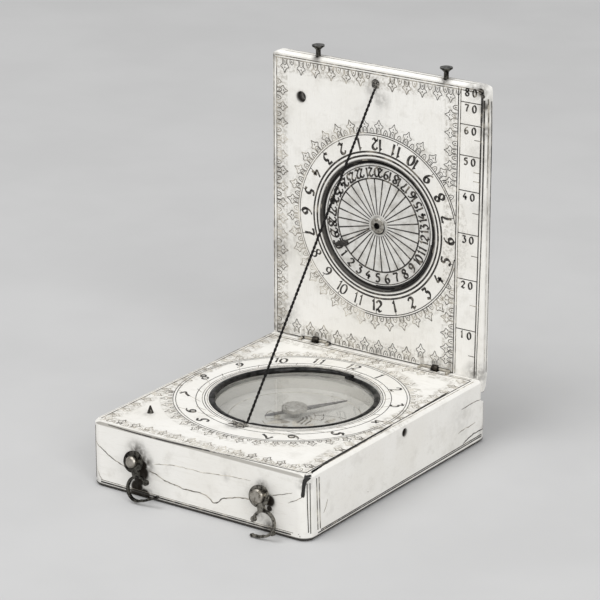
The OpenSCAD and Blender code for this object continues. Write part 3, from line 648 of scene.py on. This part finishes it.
def leaf(plane, at, turn, size=1.0, tone="", pen=None):
    """One punched leaf of the border, growing along its own +Y; crisp ones have a finer pen."""
    pen = pen or (0.1 if tone == "" else 0.14)
    side = [(0.5, 0.0), (0.48, 0.85), (0.62, 1.05), (0.84, 1.25), (0.82, 1.5), (0.55, 1.6), (0.34, 1.8),
            (0.2, 2.05), (0.0, 2.45)]
    whole = [(-x, y) for x, y in side] + side[-2::-1]
    stroke(plane, placed(smooth_line(whole, 3), at, turn, size), pen, tone)
    arch = [(-0.3, 0.1), (-0.3, 0.75), (-0.16, 1.02), (0.0, 1.1), (0.16, 1.02), (0.3, 0.75), (0.3, 0.1)]
    stroke(plane, placed(arch, at, turn, size), pen * 0.9, tone)
    stroke(plane, placed([(0, 0.25), (0, 0.7)], at, turn, size), pen * 0.9, tone)
    stroke(plane, placed([(-0.12, 1.5), (0.12, 1.5)], at, turn, size), pen * 1.7, tone)


def loop(plane, at, turn, size=1.0, tone="", pen=0.13):
    """The small arch between two leaves."""
    arch = [(0.4 * math.cos(a), 0.85 * math.sin(a)) for a in [math.pi * k / 6 for k in range(7)]]
    stroke(plane, placed(arch, at, turn, size), pen, tone)
    stroke(plane, placed([(0, 0.15), (0, 0.45)], at, turn, size), pen * 1.2, tone)


def punched(plane, at, turn, size, tone, step):
    """A leaf and the small arch beside it."""
    leaf(plane, at, turn, size, tone)
    loop(plane, (at[0] + step[0], at[1] + step[1]), turn, 1, tone, 0.1 if tone == "" else 0.14)


def crack(plane, points, width, tone="_mid", wander=0.12):
    """An uneven hairline crack."""
    line, widths = [], []
    path = smooth_line(points, 6)
    for k, (x, y) in enumerate(path):
        shift = noise.noise(Vector((x * 1.3, y * 1.3, len(points)))) * wander
        line.append((x + 0.5 * shift, y + shift))
        end = min(k, len(path) - 1 - k)
        widths.append(width * (0.35 + min(end, 3) / 3 * (0.65 + 0.5 * noise.noise(Vector((x * 2, y, 3))))))
    stroke(plane, line, widths, tone)


# Upper leaf: borders and the latitude column
for x, z in ((-20.5, 60.1), (-19.95, 59.7)):
    stroke("lid_front", [(-20.2, z), (15.4, z + 0.05), (20.3, z)], 0.17, "_mid")
    stroke("lid_front", [(x, z), (x, 11.3)], 0.16, "_mid")
stroke("lid_front", [(15.7, 60.0), (15.45, 11.2)], 0.19)
stroke("lid_front", [(16.15, 60.0), (15.85, 11.2)], 0.15, "_mid")
stroke("lid_front", smooth_line([(20.14, 60.0), (20.07, 55.3), (19.99, 48.6), (19.93, 38.5), (19.6, 11.2)]),
       [0.42] * 6 + [0.3] * 8 + [0.2] * 7)
stroke("lid_front", [(20.52, 58.6), (20.56, 50), (20.5, 38), (20.2, 24), (19.95, 11.2)],
       [0.3, 0.26, 0.2, 0.15, 0.12])
stroke("lid_front", [(-20.0, 11.2), (15.5, 11.2)], 0.18)
for label, z in zip(range(80, 0, -10), (60.2, 57.8, 54.1, 48.9, 43.0, 35.7, 27.9, 19.2)):
    lean, drop = (60 - z) * 0.011, 0.72 if label == 80 else 0.95
    if label < 80:
        stroke("lid_front", [(16.1 - 0.5 * lean, z), (20.1 - lean, z)], 0.15)
    for digit, x in zip(str(label), (17.3, 18.7)):
        number("lid_front", digit, (x - 0.5 * lean, z - drop), 1.15, 0, (0.11, 0.3))
for z in (51.7, 46.3, 44.8, 39.4, 32.1, 23.6, 14.8):
    lean = (60 - z) * 0.011
    stroke("lid_front", [(18.9 - lean, z), (20.1 - lean, z)], 0.12, "_mid")

# Upper leaf: punched borders and the punched circle, crisp in some places and worn in others
for x in (-18.3, -15.0, -12.1, -9.0, -6.0, -3.2, 3.0, 5.8, 8.8, 11.7, 14.2):
    punched("lid_front", (x, 59.6), 180, 0.95, "" if x < -14 or x > 7 else "_mid", (1.45, 0))
for k in range(16):
    z = 54.2 - 2.8 * k
    if z > 12:
        punched("lid_front", (-19.9, z), -90, 0.9, "_mid" if k % 5 < 3 else "_faint", (0, 1.4))
for z in (55.2, 52.2, 49.2, 46.7, 43.9, 23.7, 20.6, 17.8, 15.2, 13.3):
    tone = "" if z > 43 or z < 19 else "_mid"
    punched("lid_front", (15.55 - (60 - z) * 0.005, z), 90, 0.97, tone, (0, 1.4))
for k in range(11):
    x, tone = -15.9 + 2.78 * k, "" if k in (0, 5, 6, 7, 9, 10) else "_mid"
    if k in (0, 2, 9, 10):  # beside the staples' pockets
        leaf("lid_front", (x, 12.5 if k == 9 else 11.8), 0, 1.0, tone)
    else:
        punched("lid_front", (x, 11.8 if k == 1 else 11.4), 0, 1.0, tone, (1.39, 0))
HOURS = Vector((0.25, 33.9))
for k in range(38):
    a = 4 + 360 * k / 38
    tone = "" if a < 108 or a > 325 else "_faint" if 188 < a < 262 else "_mid"
    if -18.3 < (HOURS + ray(a, 18.1)).x < 15.0:
        leaf("lid_front", HOURS + ray(a, 15.85), a - 90, 0.95, tone)
    b = a + 360 / 76
    foot = HOURS + ray(b, 15.85)
    if -17.8 < foot.x < 14.8:
        loop("lid_front", foot, b - 90, 1, tone, 0.1 if tone == "" else 0.13)

# Upper leaf: the circles and twice twelve numbers around the disc
circle("lid_front", HOURS, 11.95, 0.34)
circle("lid_front", HOURS, 12.62, 0.32)
# Painted shade round the disc's recess: a dark line at its rim, a black ring on its floor in the gap round
# the disc, and a thick crescent at the lower right where the shadow falls.
circle("lid_front", DISC, 11.27, 0.2)
circle("recess", DISC, 10.96, 0.4)
circle("lid_front", DISC, 11.12, 0.26, "_deep", 285, 345)
for r, w in ((15.45, 0.14), (15.8, 0.15)):
    edge = math.degrees(math.acos(min(1, (15.4 - HOURS.x) / r)))
    circle("lid_front", HOURS, r, w, "", edge, 100)
    circle("lid_front", HOURS, r, w, "_mid" if r < 15.5 else "_faint", 100, 262)
    circle("lid_front", HOURS, r, w, "", 262, 360 - edge)
for k in range(24):
    a = 90 + 15 * k
    number("lid_front", str(k % 12 or 12), HOURS + ray(a, 14.0), 1.85, a + 90,
           (0.07, 0.19) if k in (8, 9, 10, 11) else (0.1, 0.28), "", 0.56)
    stroke("lid_front", [HOURS + ray(a, 14.9 if k % 12 else 14.5), HOURS + ray(a, 15.45)],
           0.11, "" if k < 7 or k > 11 else "_mid")

# Lunar disc: thirty spokes, the days of the moon and the pointer's line
circle("disc", DISC, 8.05, 0.27)
circle("disc", DISC, 10.2, 0.16)
# Painted shadow at the disc's edge: a thick dark crescent on the lower right, thin round the rest.
circle("disc", DISC, 10.6, 0.36, "_deep", 268, 352)
circle("disc", DISC, 10.66, 0.16, "_deep", -8, 268)
for day in range(1, 31):
    a = 270 + (day - 5) * 12
    number("disc", str(day), DISC + ray(a, 9.15), 1.5, a + 90, (0.12, 0.28), "", 0.5)
    stroke("disc", [DISC + ray(a + 6, 1.85), DISC + ray(a + 6, 8.05)], [0.17, 0.25])
stroke("disc", smooth_line([(-8.6, 29.0), (-7.2, 29.5), (-4.4, 31.0), (-1.5, 32.9)], 4), 0.26)

# Lower leaf, top: circles, hour lines and numbers from the string's foot
for centre, r, w, tone in (((0, 0.4), 14.12, 0.1, "_mid"), ((0, 0.3), 14.45, 0.14, ""),
                           ((0, 0.3), 14.85, 0.11, "_mid"), ((0.1, 0.1), 15.85, 0.12, ""),
                           ((-0.3, 0.05), 18.75, 0.12, ""), ((-0.3, 0.05), 19.2, 0.12, "")):
    circle("base_top", centre, r, w, tone)
FOOT = Vector((0.1, -13.9))
RING = Vector((-0.2, 0.05))
BORDER = Vector((-0.3, 0.05))


def on_ring(direction, r):
    """Where a line from the string's foot meets a circle round the compass."""
    to = FOOT - RING
    b = to.dot(direction)
    return FOOT + direction * (-b + math.sqrt(b * b - to.dot(to) + r * r))


LATITUDE_SINE = 0.755
for half_hour in range(-15, 16):
    hour = half_hour / 2
    sun = ray(15 * hour)
    shown = math.degrees(math.atan2(LATITUDE_SINE * sun.y, sun.x))
    d = ray(90 - shown)
    if hour != int(hour):
        if abs(hour) < 5.6:
            stroke("base_top", [on_ring(d, 14.9), on_ring(d, 15.9)], 0.1, "_mid")
        continue
    if abs(hour) < 6.5:
        stroke("base_top", [on_ring(d, 14.9), on_ring(d, 18.7)], 0.08, "_faint")
    hour = int(hour)
    text = str(12 if hour == 0 else hour if hour > 0 else 12 + hour)
    middle = on_ring(d, 17.25)
    number("base_top", text, middle, 2.0, -shown, (0.07, 0.2 if abs(hour) < 5 else 0.28), "", 0.6)

# Lower leaf, top: borders
for x in (-20.5, -20.0):
    stroke("base_top", [(x, -24.6), (x, 23.0)], 0.22, "_mid")
for x, w, tone in ((19.75, 0.2, ""), (20.3, 0.16, "_faint")):
    stroke("base_top", [(x, -24.9), (x - 0.1, 0), (x - 0.05, 22.8)], w, tone)
crack("base_top", [(20.55, -25.3), (20.3, -23.6), (20.05, -20), (19.95, -14), (19.85, -8), (19.75, -1)],
      0.46, "_deep")
crack("base_top", [(19.75, 4.8), (19.6, 8), (19.5, 12), (19.35, 16.8)], 0.34, "")
front_edge = [
    (-17.5, -26.0), (-13, -26.12), (-6.4, -26.12), (0, -25.97), (6.2, -25.77), (12.2, -25.4),
    (17.6, -25.1), (19.9, -24.75),
]
stroke("base_top", smooth_line(front_edge), [0.1 + 0.08 * min(1, k / 9) for k in range(36)])
stroke("base_top", smooth_line(front_edge[4:]), [0.06, 0.1] + [0.16] * 14, "_deep")
stroke("base_top", smooth_line([(x, y + 0.42) for x, y in front_edge[2:]]), 0.11, "_faint")
stroke("base_top", [(-20, 22.5), (-9, 22.35), (12, 22.6), (19.5, 22.9)], 0.3, "_mid")
stroke("base_top", [(-20, 23.1), (-9, 22.95), (12, 23.1), (19.5, 23.4)], 0.15, "_mid")
for k, x in enumerate((-18.9, -16.2, -13.4, -10.9, -8.1, -5.3, -2.5, 0.6, 3.4, 6.2, 9.0, 11.7, 14.3, 16.9)):
    y = -25.2 + 0.7 * max(0, (x - 3) / 16)
    leaf("base_top", (x, y), 0, 0.85, "_mid" if k in (1, 2, 10, 11, 12) else "_faint")
    loop("base_top", (x + 1.38, y), 0, 1, "_faint")
for x in range(-7, 12, 3):
    leaf("base_top", (x, 22.3), 180, 0.85, "_faint")
    loop("base_top", (x + 1.5, 22.3), 180, 1, "_faint")
for k in range(17):
    y = -22.3 + 2.75 * k
    leaf("base_top", (19.55, y), 90, 0.8, "_mid" if k in (0, 3, 5) else "_faint")
    leaf("base_top", (-19.95, y), -90, 0.8, "_faint")
for k in range(44):
    a = 3 + 360 * k / 44
    b = a + 360 / 88
    tip = ray(a, 21.3)
    if abs(tip.x) < 19.3 and -24 < tip.y < 21.8:
        leaf("base_top", BORDER + ray(a, 19.25), a - 90, 0.82, "_mid" if 195 < a < 345 else "_faint", 0.12)
        loop("base_top", BORDER + ray(b, 19.25), b - 90, 0.9, "_mid" if 200 < a < 340 else "_faint", 0.11)

# Lower leaf, front
stroke("base_front", smooth_line([(-19.9, 1.2), (-12, 1.16), (4, 1.12), (19.4, 1.2)]), 0.1, "_mid")
stroke("base_front", smooth_line([(-19.9, 0.86), (-12, 0.84), (4, 0.82), (19.6, 0.86)]), 0.26)
for x, w in ((-20.9, 0.2), (-20.6, 0.2), (-20.2, 0.14)):
    stroke("base_front", [(x, 1.2 + 0.9 * k) for k in range(11)], w)
crack("base_front", [(-20.6, 7.7), (-18.6, 6.5), (-17, 5.6), (-15.6, 5.0), (-14.2, 4.6)], 0.16)
crack("base_front", [(-9.4, 5.0), (-7.6, 4.6), (-6, 4.0), (-4, 3.75), (-2, 3.5), (1, 3.6), (2.4, 3.2),
                     (3.2, 2.5), (4.2, 2.9), (5, 3.7), (7.3, 4.4), (9.2, 4.8), (10.4, 4.75)], 0.18)
crack("base_front", [(-8.4, 6.3), (-6, 6.8), (-3.3, 7.1), (1.3, 7.2), (5.7, 7.7), (10.4, 8.0)], 0.11,
      "_faint")
crack("base_front", [(14.1, 6.4), (16.3, 7.1), (18.2, 7.8)], 0.12, "_mid")
crack("base_front", [(17.4, 6.0), (18.6, 6.6), (20.0, 7.5)], 0.12, "_mid")
crack("base_front", [(-19.9, 3.2), (-19.4, 1.9), (-18.6, 1.2)], 0.1, "_faint")

# Lower leaf: the black chip at the front right corner, as narrow ribbons side by side
stroke("base_top", [(20.2, -25.6), (20.42, -25.0), (20.4, -24.2), (20.25, -23.2), (20.15, -21.5)], 0.46,
       "_deep")
chip = [
    (1.9, 10.9, 1.2), (1.72, 10.5, 1.0), (1.34, 10.05, 0.62), (1.16, 9.2, 0.46), (1.08, 8.4, 0.44),
    (1.02, 7.8, 0.5), (0.98, 7.4, 0.3),
]
ribbon_w = [w / 5 + 0.1 for u, z, w in chip[:-1] for _ in range(3)] + [0.12]
for k in range(5):
    line = [(u + (k - 2) / 5 * w, z) for u, z, w in chip]
    stroke("base_corner", smooth_line(line, 3), ribbon_w, "_deep")
for line in ([(1.66, 9.7), (1.74, 5.7), (1.9, 1.5)], [(2.14, 9.7), (2.19, 5.7), (2.28, 1.3)]):
    stroke("base_corner", line, 0.15)

# Lower leaf, right side
for w, points in ((0.18, [(-22.6, 1.12), (-14, 1.14), (2, 1.24), (18, 1.36), (24.4, 1.4)]),
                  (0.2, [(-23.4, 0.86), (-14, 0.88), (2, 0.95), (18, 1.05), (24.4, 1.1)])):
    stroke("base_right", smooth_line(points), w)
for top, foot in ((-23.8, -23.4), (-23.15, -22.75)):
    stroke("base_right", [(top, 10.1), ((top + foot) / 2, 5.5), (foot, 1.4)], 0.24, "_mid")
stroke("base_right", [(25.2, 2.0), (25.35, 6.6)], 0.26, "_mid")
crack("base_right", [(17, 3.9), (19, 4.1), (20.6, 4.05), (22.4, 4.2)], 0.15, "_faint")
crack("base_right", [(18, 7.8), (21, 7.9), (24, 7.75)], 0.14, "_mid")
crack("base_right", [(18.6, 1.6), (20.6, 2.1), (22.6, 2.3), (25.0, 2.2)], 0.2, "")
crack("base_right", [(-21.9, 3.6), (-21.2, 4.6), (-20.8, 5.6)], 0.16, "_faint")
crack("base_right", [(-9.8, 2.9), (-9.3, 2.8)], 0.2, "_faint")

# Upper leaf, right edge and top edge
stroke("lid_side", smooth_line([(25.5, 12.0), (25.65, 25), (25.7, 40), (25.72, 52), (25.5, 58.2)]),
       [0.12] * 6 + [0.2] * 7 + [0.26] * 8)
stroke("lid_side", [(24.9, 14.0), (24.85, 40), (24.8, 58.5)], [0.1, 0.13, 0.18], "_faint")
stroke("lid_side", [(24.55, 44.0), (24.6, 52), (24.5, 58.8)], [0.1, 0.2, 0.26], "_mid")
for y, w in ((24.6, 0.16), (25.5, 0.12)):
    crack("lid_top", [(-18.6, y), (-10, y + 0.05), (-1, y - 0.02), (8, y + 0.04), (18.8, y)], w, "_mid", 0.06)

# Lower leaf, left side and back, and the upper leaf's back: double borders, cracks and a rosette
for shift in (0, 0.45):
    stroke("base_left", [(-24, 0.85 + shift), (24, 0.85 + shift)], 0.16)
    stroke("base_left", [(24.4 - shift, 1.5), (24.4 - shift, 10.2)], 0.15, "_mid")
    stroke("base_back", [(-18.8, 0.85 + shift), (18.8, 0.85 + shift)], 0.16)
    side, low, high = 19.8 - shift, 17.2 + shift, 59.6 - shift
    stroke("lid_back", [(-side, low), (side, low), (side, high), (-side, high)], 0.16, "_mid", True)
crack("base_left", [(-23.9, 5.2), (-19, 4.4), (-13, 4.9), (-7, 4.2)], 0.12)
crack("base_back", [(-18.6, 4.6), (-12, 3.9), (-3, 4.6), (7, 3.7)], 0.12)
crack("lid_back", [(-12, 60.2), (-11.4, 52), (-12.2, 44), (-11.5, 37)], 0.12, "_faint")
BACK = Vector((-DISC.x, DISC.y))
for r in (3.2, 3.6, 9.4, 9.8):
    circle("lid_back", BACK, r, 0.13, "_mid")
for k in range(6):
    spot = BACK + ray(60 * k, 6.5)
    circle("lid_back", spot, 1.1, 0.13, "_mid", step=12)
    circle("lid_back", spot, 0.35, 0.2, "", step=20)
for a in range(0, 360, 15):
    leaf("lid_back", BACK + ray(a, 9.85), a - 90, 0.9, "_mid")
for k in range(14):
    x = -17.9 + 2.75 * k
    leaf("lid_back", (x, 59.1), 180, 0.85, "_mid")
    leaf("lid_back", (x, 17.7), 0, 0.85, "_mid")

# Compass card: a faint circle, and what is left of a rose's rings, waves and rays
COMPASS = Vector((0, COMPASS_Y))
circle("card", COMPASS, 10.9, 0.16, "_faint")
for r, start, end in ((4.75, 178, 232), (4.75, 8, 46), (3.35, 178, 236), (3.35, 6, 60)):
    circle("card", COMPASS, r, 0.14, "_mid", start, end)
for a in (186, 229, 12, 42):
    stroke("card", [COMPASS + ray(a, 3.3), COMPASS + ray(a, 4.8)], 0.16, "_mid")
stroke("card", [(3.6, 3.3), (4.7, 3.9), (5.7, 4.1), (7.5, 4.3)], 0.12, "_mid")
stroke("card", [(-3.2, -4.0), (-2.5, -4.6), (-1.8, -5.0)], 0.16, "_mid")
for line, width in (([(1.4, 1.0), (1.85, 0.1), (1.9, -0.85), (2.05, -1.75)], 0.3),
                    ([(1.5, 1.6), (2.3, 0.75), (2.57, -0.2), (2.63, -1.2), (2.9, -1.8)], 0.32),
                    ([(1.7, 2.1), (2.7, 1.4), (3.3, 0.15), (3.35, -1.0), (3.65, -1.65)], 0.34)):
    stroke("card", smooth_line(line), width, "_mid")
for line, widths in (([(-3.6, 0.0), (-2.4, -0.9), (-1.6, -2.1)], [0.3, 1.0, 0.6]),
                     ([(-1.8, -4.9), (-1.5, -3.6), (-0.6, -2.5), (0.9, -2.2)], [0.2, 1.3, 1.8, 0.8]),
                     ([(1.2, -0.8), (1.8, -1.6), (2.4, -3.0)], [1.0, 1.5, 0.5]),
                     ([(5.6, 1.0), (6.0, 2.2), (6.0, 3.4)], [0.5, 1.2, 0.3])):
    stroke("card", line, widths, "_faint")
for a in (-75, -48, -20):
    stroke("card", [COMPASS + ray(a, 4.2), COMPASS + ray(a, 7.2)], [0.9, 0.05], "_faint")
stroke("card", [(4.3, 1.8), (4.45, 1.95)], 0.3)

# One closed mesh for each face and ink
for (plane, tone), ribbons in strokes.items():
    body, place = PLANES[plane]
    verts, faces = [], []
    for lefts, rights, closed in ribbons:
        base, n = len(verts), len(lefts)
        for left, right_side in zip(lefts, rights):
            for p, h in ((left, PROUD), (right_side, PROUD), (right_side, -DEEP), (left, -DEEP)):
                verts.append(place(p.x, p.y, h))
        for k in range(n if closed else n - 1):
            a, b = base + 4 * k, base + 4 * ((k + 1) % n)
            for j in range(4):
                m = (j + 1) % 4
                faces.append((a + j, b + j, b + m, a + m))
        if not closed:
            last = base + 4 * (n - 1)
            faces.append((base, base + 1, base + 2, base + 3))
            faces.append((last + 3, last + 2, last + 1, last))
    material_slot = {"card": "card_paper", "disc": "disc_metal"}.get(plane, "ivory")
    lines = piece(f"engraving_{plane}{tone}", verts, faces, INKS[tone], body, material_slot, False)
    mesh = bmesh.new()
    mesh.from_mesh(lines.data)
    bmesh.ops.recalc_face_normals(mesh, faces=mesh.faces)
    mesh.to_mesh(lines.data)
    mesh.free()

# String gnomon: two plies from the bead at the compass ring, over the glass seat and up to the knot
LOW, HIGH = Vector((0.2, -12.9, 10.95)), Vector((-0.25, 23.86, 57.25))
START = Vector((0.2, -13.9, 10.95))
STRING_D, PITCH = 0.42, 1.5
SPAN = HIGH - LOW
route = [START + (LOW - START) * k / 6 for k in range(6)] + [LOW + SPAN * k / 400 for k in range(401)]
plies = []
for ply in range(2):
    strand, travelled = [], 0
    for k, p in enumerate(route):
        ahead_here = (route[min(k + 1, len(route) - 1)] - route[max(k - 1, 0)]).normalized()
        side = (Vector((1, 0, 0)) - ahead_here * ahead_here.x).normalized()
        other = ahead_here.cross(side)
        if k:
            travelled += (p - route[k - 1]).length
        turn = math.tau * travelled / PITCH + math.pi * ply
        wobble = 0.012 * noise.noise(Vector((travelled * 0.9, ply * 9, 0)))
        strand.append(p + (0.1 + wobble) * (math.cos(turn) * side + math.sin(turn) * other))
    swell = [0.14 + 0.012 * noise.noise(Vector((k * 0.11, ply * 5, 4))) for k in range(len(strand))]
    plies.append(tube(strand, swell, 8))
string_piece = piece("string_thread", *joined(plies), waxed_thread, None, "string")
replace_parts(string_piece, "gnomon_string")
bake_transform(string_piece)


def lump(centre, radii, seed, rough=0.3, detail=3):
    """A rounded uneven lump."""
    ball = bmesh.new()
    bmesh.ops.create_icosphere(ball, subdivisions=detail, radius=1)
    for v in ball.verts:
        swell = 1 + rough * noise.noise(v.co * 1.7 + Vector((seed, 3, 1))) + 0.4 * rough * noise.noise(
            v.co * 4.1 + Vector((0, seed, 2)))
        v.co = Vector(centre) + Vector([c * r * swell for c, r in zip(v.co, radii)])
    verts, faces = [v.co.copy() for v in ball.verts], [tuple(v.index for v in f.verts) for f in ball.faces]
    ball.free()
    return verts, faces


def flatten(shape, axis, side, start, share):
    """Keep only a share of what stands past start on one side, so that the shut leaves clear it."""
    verts = [Vector(v) for v in shape[0]]
    for v in verts:
        if side * (v[axis] - start) > 0:
            v[axis] = start + (v[axis] - start) * share
    return verts, shape[1]


# Bead of wax, dirt and knotted thread
GRAINS = [
    (-1.75, -13.85, 0.3), (-1.3, -14.1, 0.36), (-0.85, -14.35, 0.42), (-0.35, -14.3, 0.4),
    (0.75, -14.5, 0.42), (1.15, -14.35, 0.3), (-0.1, -14.9, 0.36), (-0.6, -14.95, 0.32),
    (-1.2, -14.75, 0.28), (0.4, -15.1, 0.34), (0.95, -15.05, 0.24), (0.1, -15.5, 0.26),
]
bead = [lump((0.2, -14.25, 11.05), (0.75, 0.7, 0.42), 1)]
for k, (x, y, r) in enumerate(GRAINS):
    bead.append(lump((x, y, 11.02 + 0.15 * r), (r * 1.1, r, r * 0.85), 5 + k, 0.5, 2))
coil = []
for k in range(60):
    a = math.tau * k / 24
    coil.append(Vector((-0.1 + (0.72 + 0.12 * math.sin(2.7 * a)) * math.cos(a), -14.45 + 0.5 * math.sin(a),
                        11.38 + 0.12 * math.sin(1.5 * a))))
coil += smooth_line([coil[-1], (-0.9, -14.75, 11.4), (-1.5, -14.9, 11.25), (-1.9, -15.1, 11.2)])
bead.append(tube([Vector(c) for c in coil], 0.13, 8))
flat_bead = flatten(joined(bead), 2, 1, BASE_H, 0.36)
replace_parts(piece("thread_bead_low", *flat_bead, wax_dirt, "base", "string"), "string_bead_low")

# Retaining ring: its first end stands proud, its last end dips below it, and it gives way at the string
RING_R, RING_Z, RING_WIRE = 13.41, 10.66, 0.52
hoop, thick = [], []
for k in range(181):
    t = k / 180
    a = math.radians(79.6 + 366 * t)
    proud = max(0, 1 - t * 7)
    sunk = max(0, (t - 0.86) / 0.14)
    dip = max(0, 1 - abs(math.degrees(a) - 270.8) / 3.5)
    tapered = min(1, 4 * t + 0.7)
    z = RING_Z + 0.34 * proud - 0.2 * dip - 0.22 * sunk
    hoop.append(Vector((RING_R * math.cos(a), COMPASS_Y + RING_R * math.sin(a), z)))
    uneven = 1 + 0.04 * noise.noise(Vector((9 * t, 4, 1)))
    thick.append((RING_WIRE - 0.2 * sunk - 0.2 * dip) * tapered * uneven)
hoop = [hoop[0] + (hoop[0] - hoop[1]).normalized() * 0.16] + hoop
flat_ring = flatten(tube(hoop, [0.3] + thick, 14), 2, 1, 10.95, 0.6)
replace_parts(piece("ring_wire", *flat_ring, ring_black, "base", "blackened_wire"), "retaining_ring")

# Disc index
knob = [lump((-7.4, 24.3, 29.3), (0.62, 0.3, 0.5), 21, 0.6, 2),
        lump((-6.6, 24.28, 29.55), (0.8, 0.34, 0.52), 22, 0.5),
        lump((-7.95, 24.33, 29.0), (0.4, 0.2, 0.34), 23, 0.8, 2),
        lump((-6.05, 24.33, 29.85), (0.45, 0.22, 0.3), 24, 0.6, 2)]
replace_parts(piece("disc_index", *joined(knob), wax_black, "moon", "blackened_wire"), "disc_knob")

# Knot in the upper leaf
knot = [lump((-0.25, 24.0, 57.95), (0.72, 0.45, 0.6), 3, 0.35),
        lump((-0.35, 23.98, 58.4), (0.5, 0.35, 0.34), 8, 0.4),
        lump((0.15, 23.95, 57.7), (0.3, 0.25, 0.3), 12, 0.4, 2)]
turns = [Vector((-0.25 + 0.5 * math.cos(a), 23.86 - 0.05 * math.sin(2 * a), 57.75 + 0.32 * math.sin(a)))
         for a in [math.tau * k / 20 for k in range(26)]]
knot.append(tube(turns, 0.12, 8))
flat_knot = flatten(joined(knot), 1, -1, LID_FACE, 0.39)
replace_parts(piece("thread_knot_high", *flat_knot, wax_dirt, "lid", "string"), "string_knot_high")

# Floor and light
s = Shader("floor_paper")
s.set(Base_Color=s.mix(s.level(s.noise(0.03, 3), 0.3, 0.7), (0.575, 0.575, 0.575), (0.548, 0.548, 0.548)),
      Roughness=0.9, Normal=s.bump(s.noise(1.2, 3), 0.12, 0.05), Specular_IOR_Level=0.15)
FLOOR = 4000
floor_points = [(x * FLOOR, y * FLOOR, 0) for x, y in ((-1, -1), (1, -1), (1, 1), (-1, 1))]
piece("floor", floor_points, [(0, 1, 2, 3)], s.material, smooth=False)


def lamp(name, at, to, size, power):
    """A square area light that faces a point."""
    data = bpy.data.lights.new(name, "AREA")
    data.shape = "RECTANGLE"
    data.size = data.size_y = size
    data.energy = power
    obj = bpy.data.objects.new(name, data)
    bpy.context.scene.collection.objects.link(obj)
    aim = (Vector(at) - Vector(to)).to_track_quat("Z", "Y")
    obj.matrix_world = Matrix.Translation(at) @ aim.to_matrix().to_4x4()


lamp("key", (-0.22, -0.42, 0.95), (0, 0, 0.02), 0.7, 5.4)
lamp("fill", (0.75, -0.55, 0.55), (0, 0, 0.03), 0.6, 4.8)
world = bpy.data.worlds.new("studio")
bpy.context.scene.world = world
world.use_nodes = True
tree = world.node_tree
tree.nodes.clear()
surround = tree.nodes.new("ShaderNodeBackground")
surround.inputs["Color"].default_value = (1, 1, 1, 1)
surround.inputs["Strength"].default_value = 0.56
tree.links.new(surround.outputs[0], tree.nodes.new("ShaderNodeOutputWorld").inputs[0])
bpy.context.scene.view_settings.view_transform = "Standard"
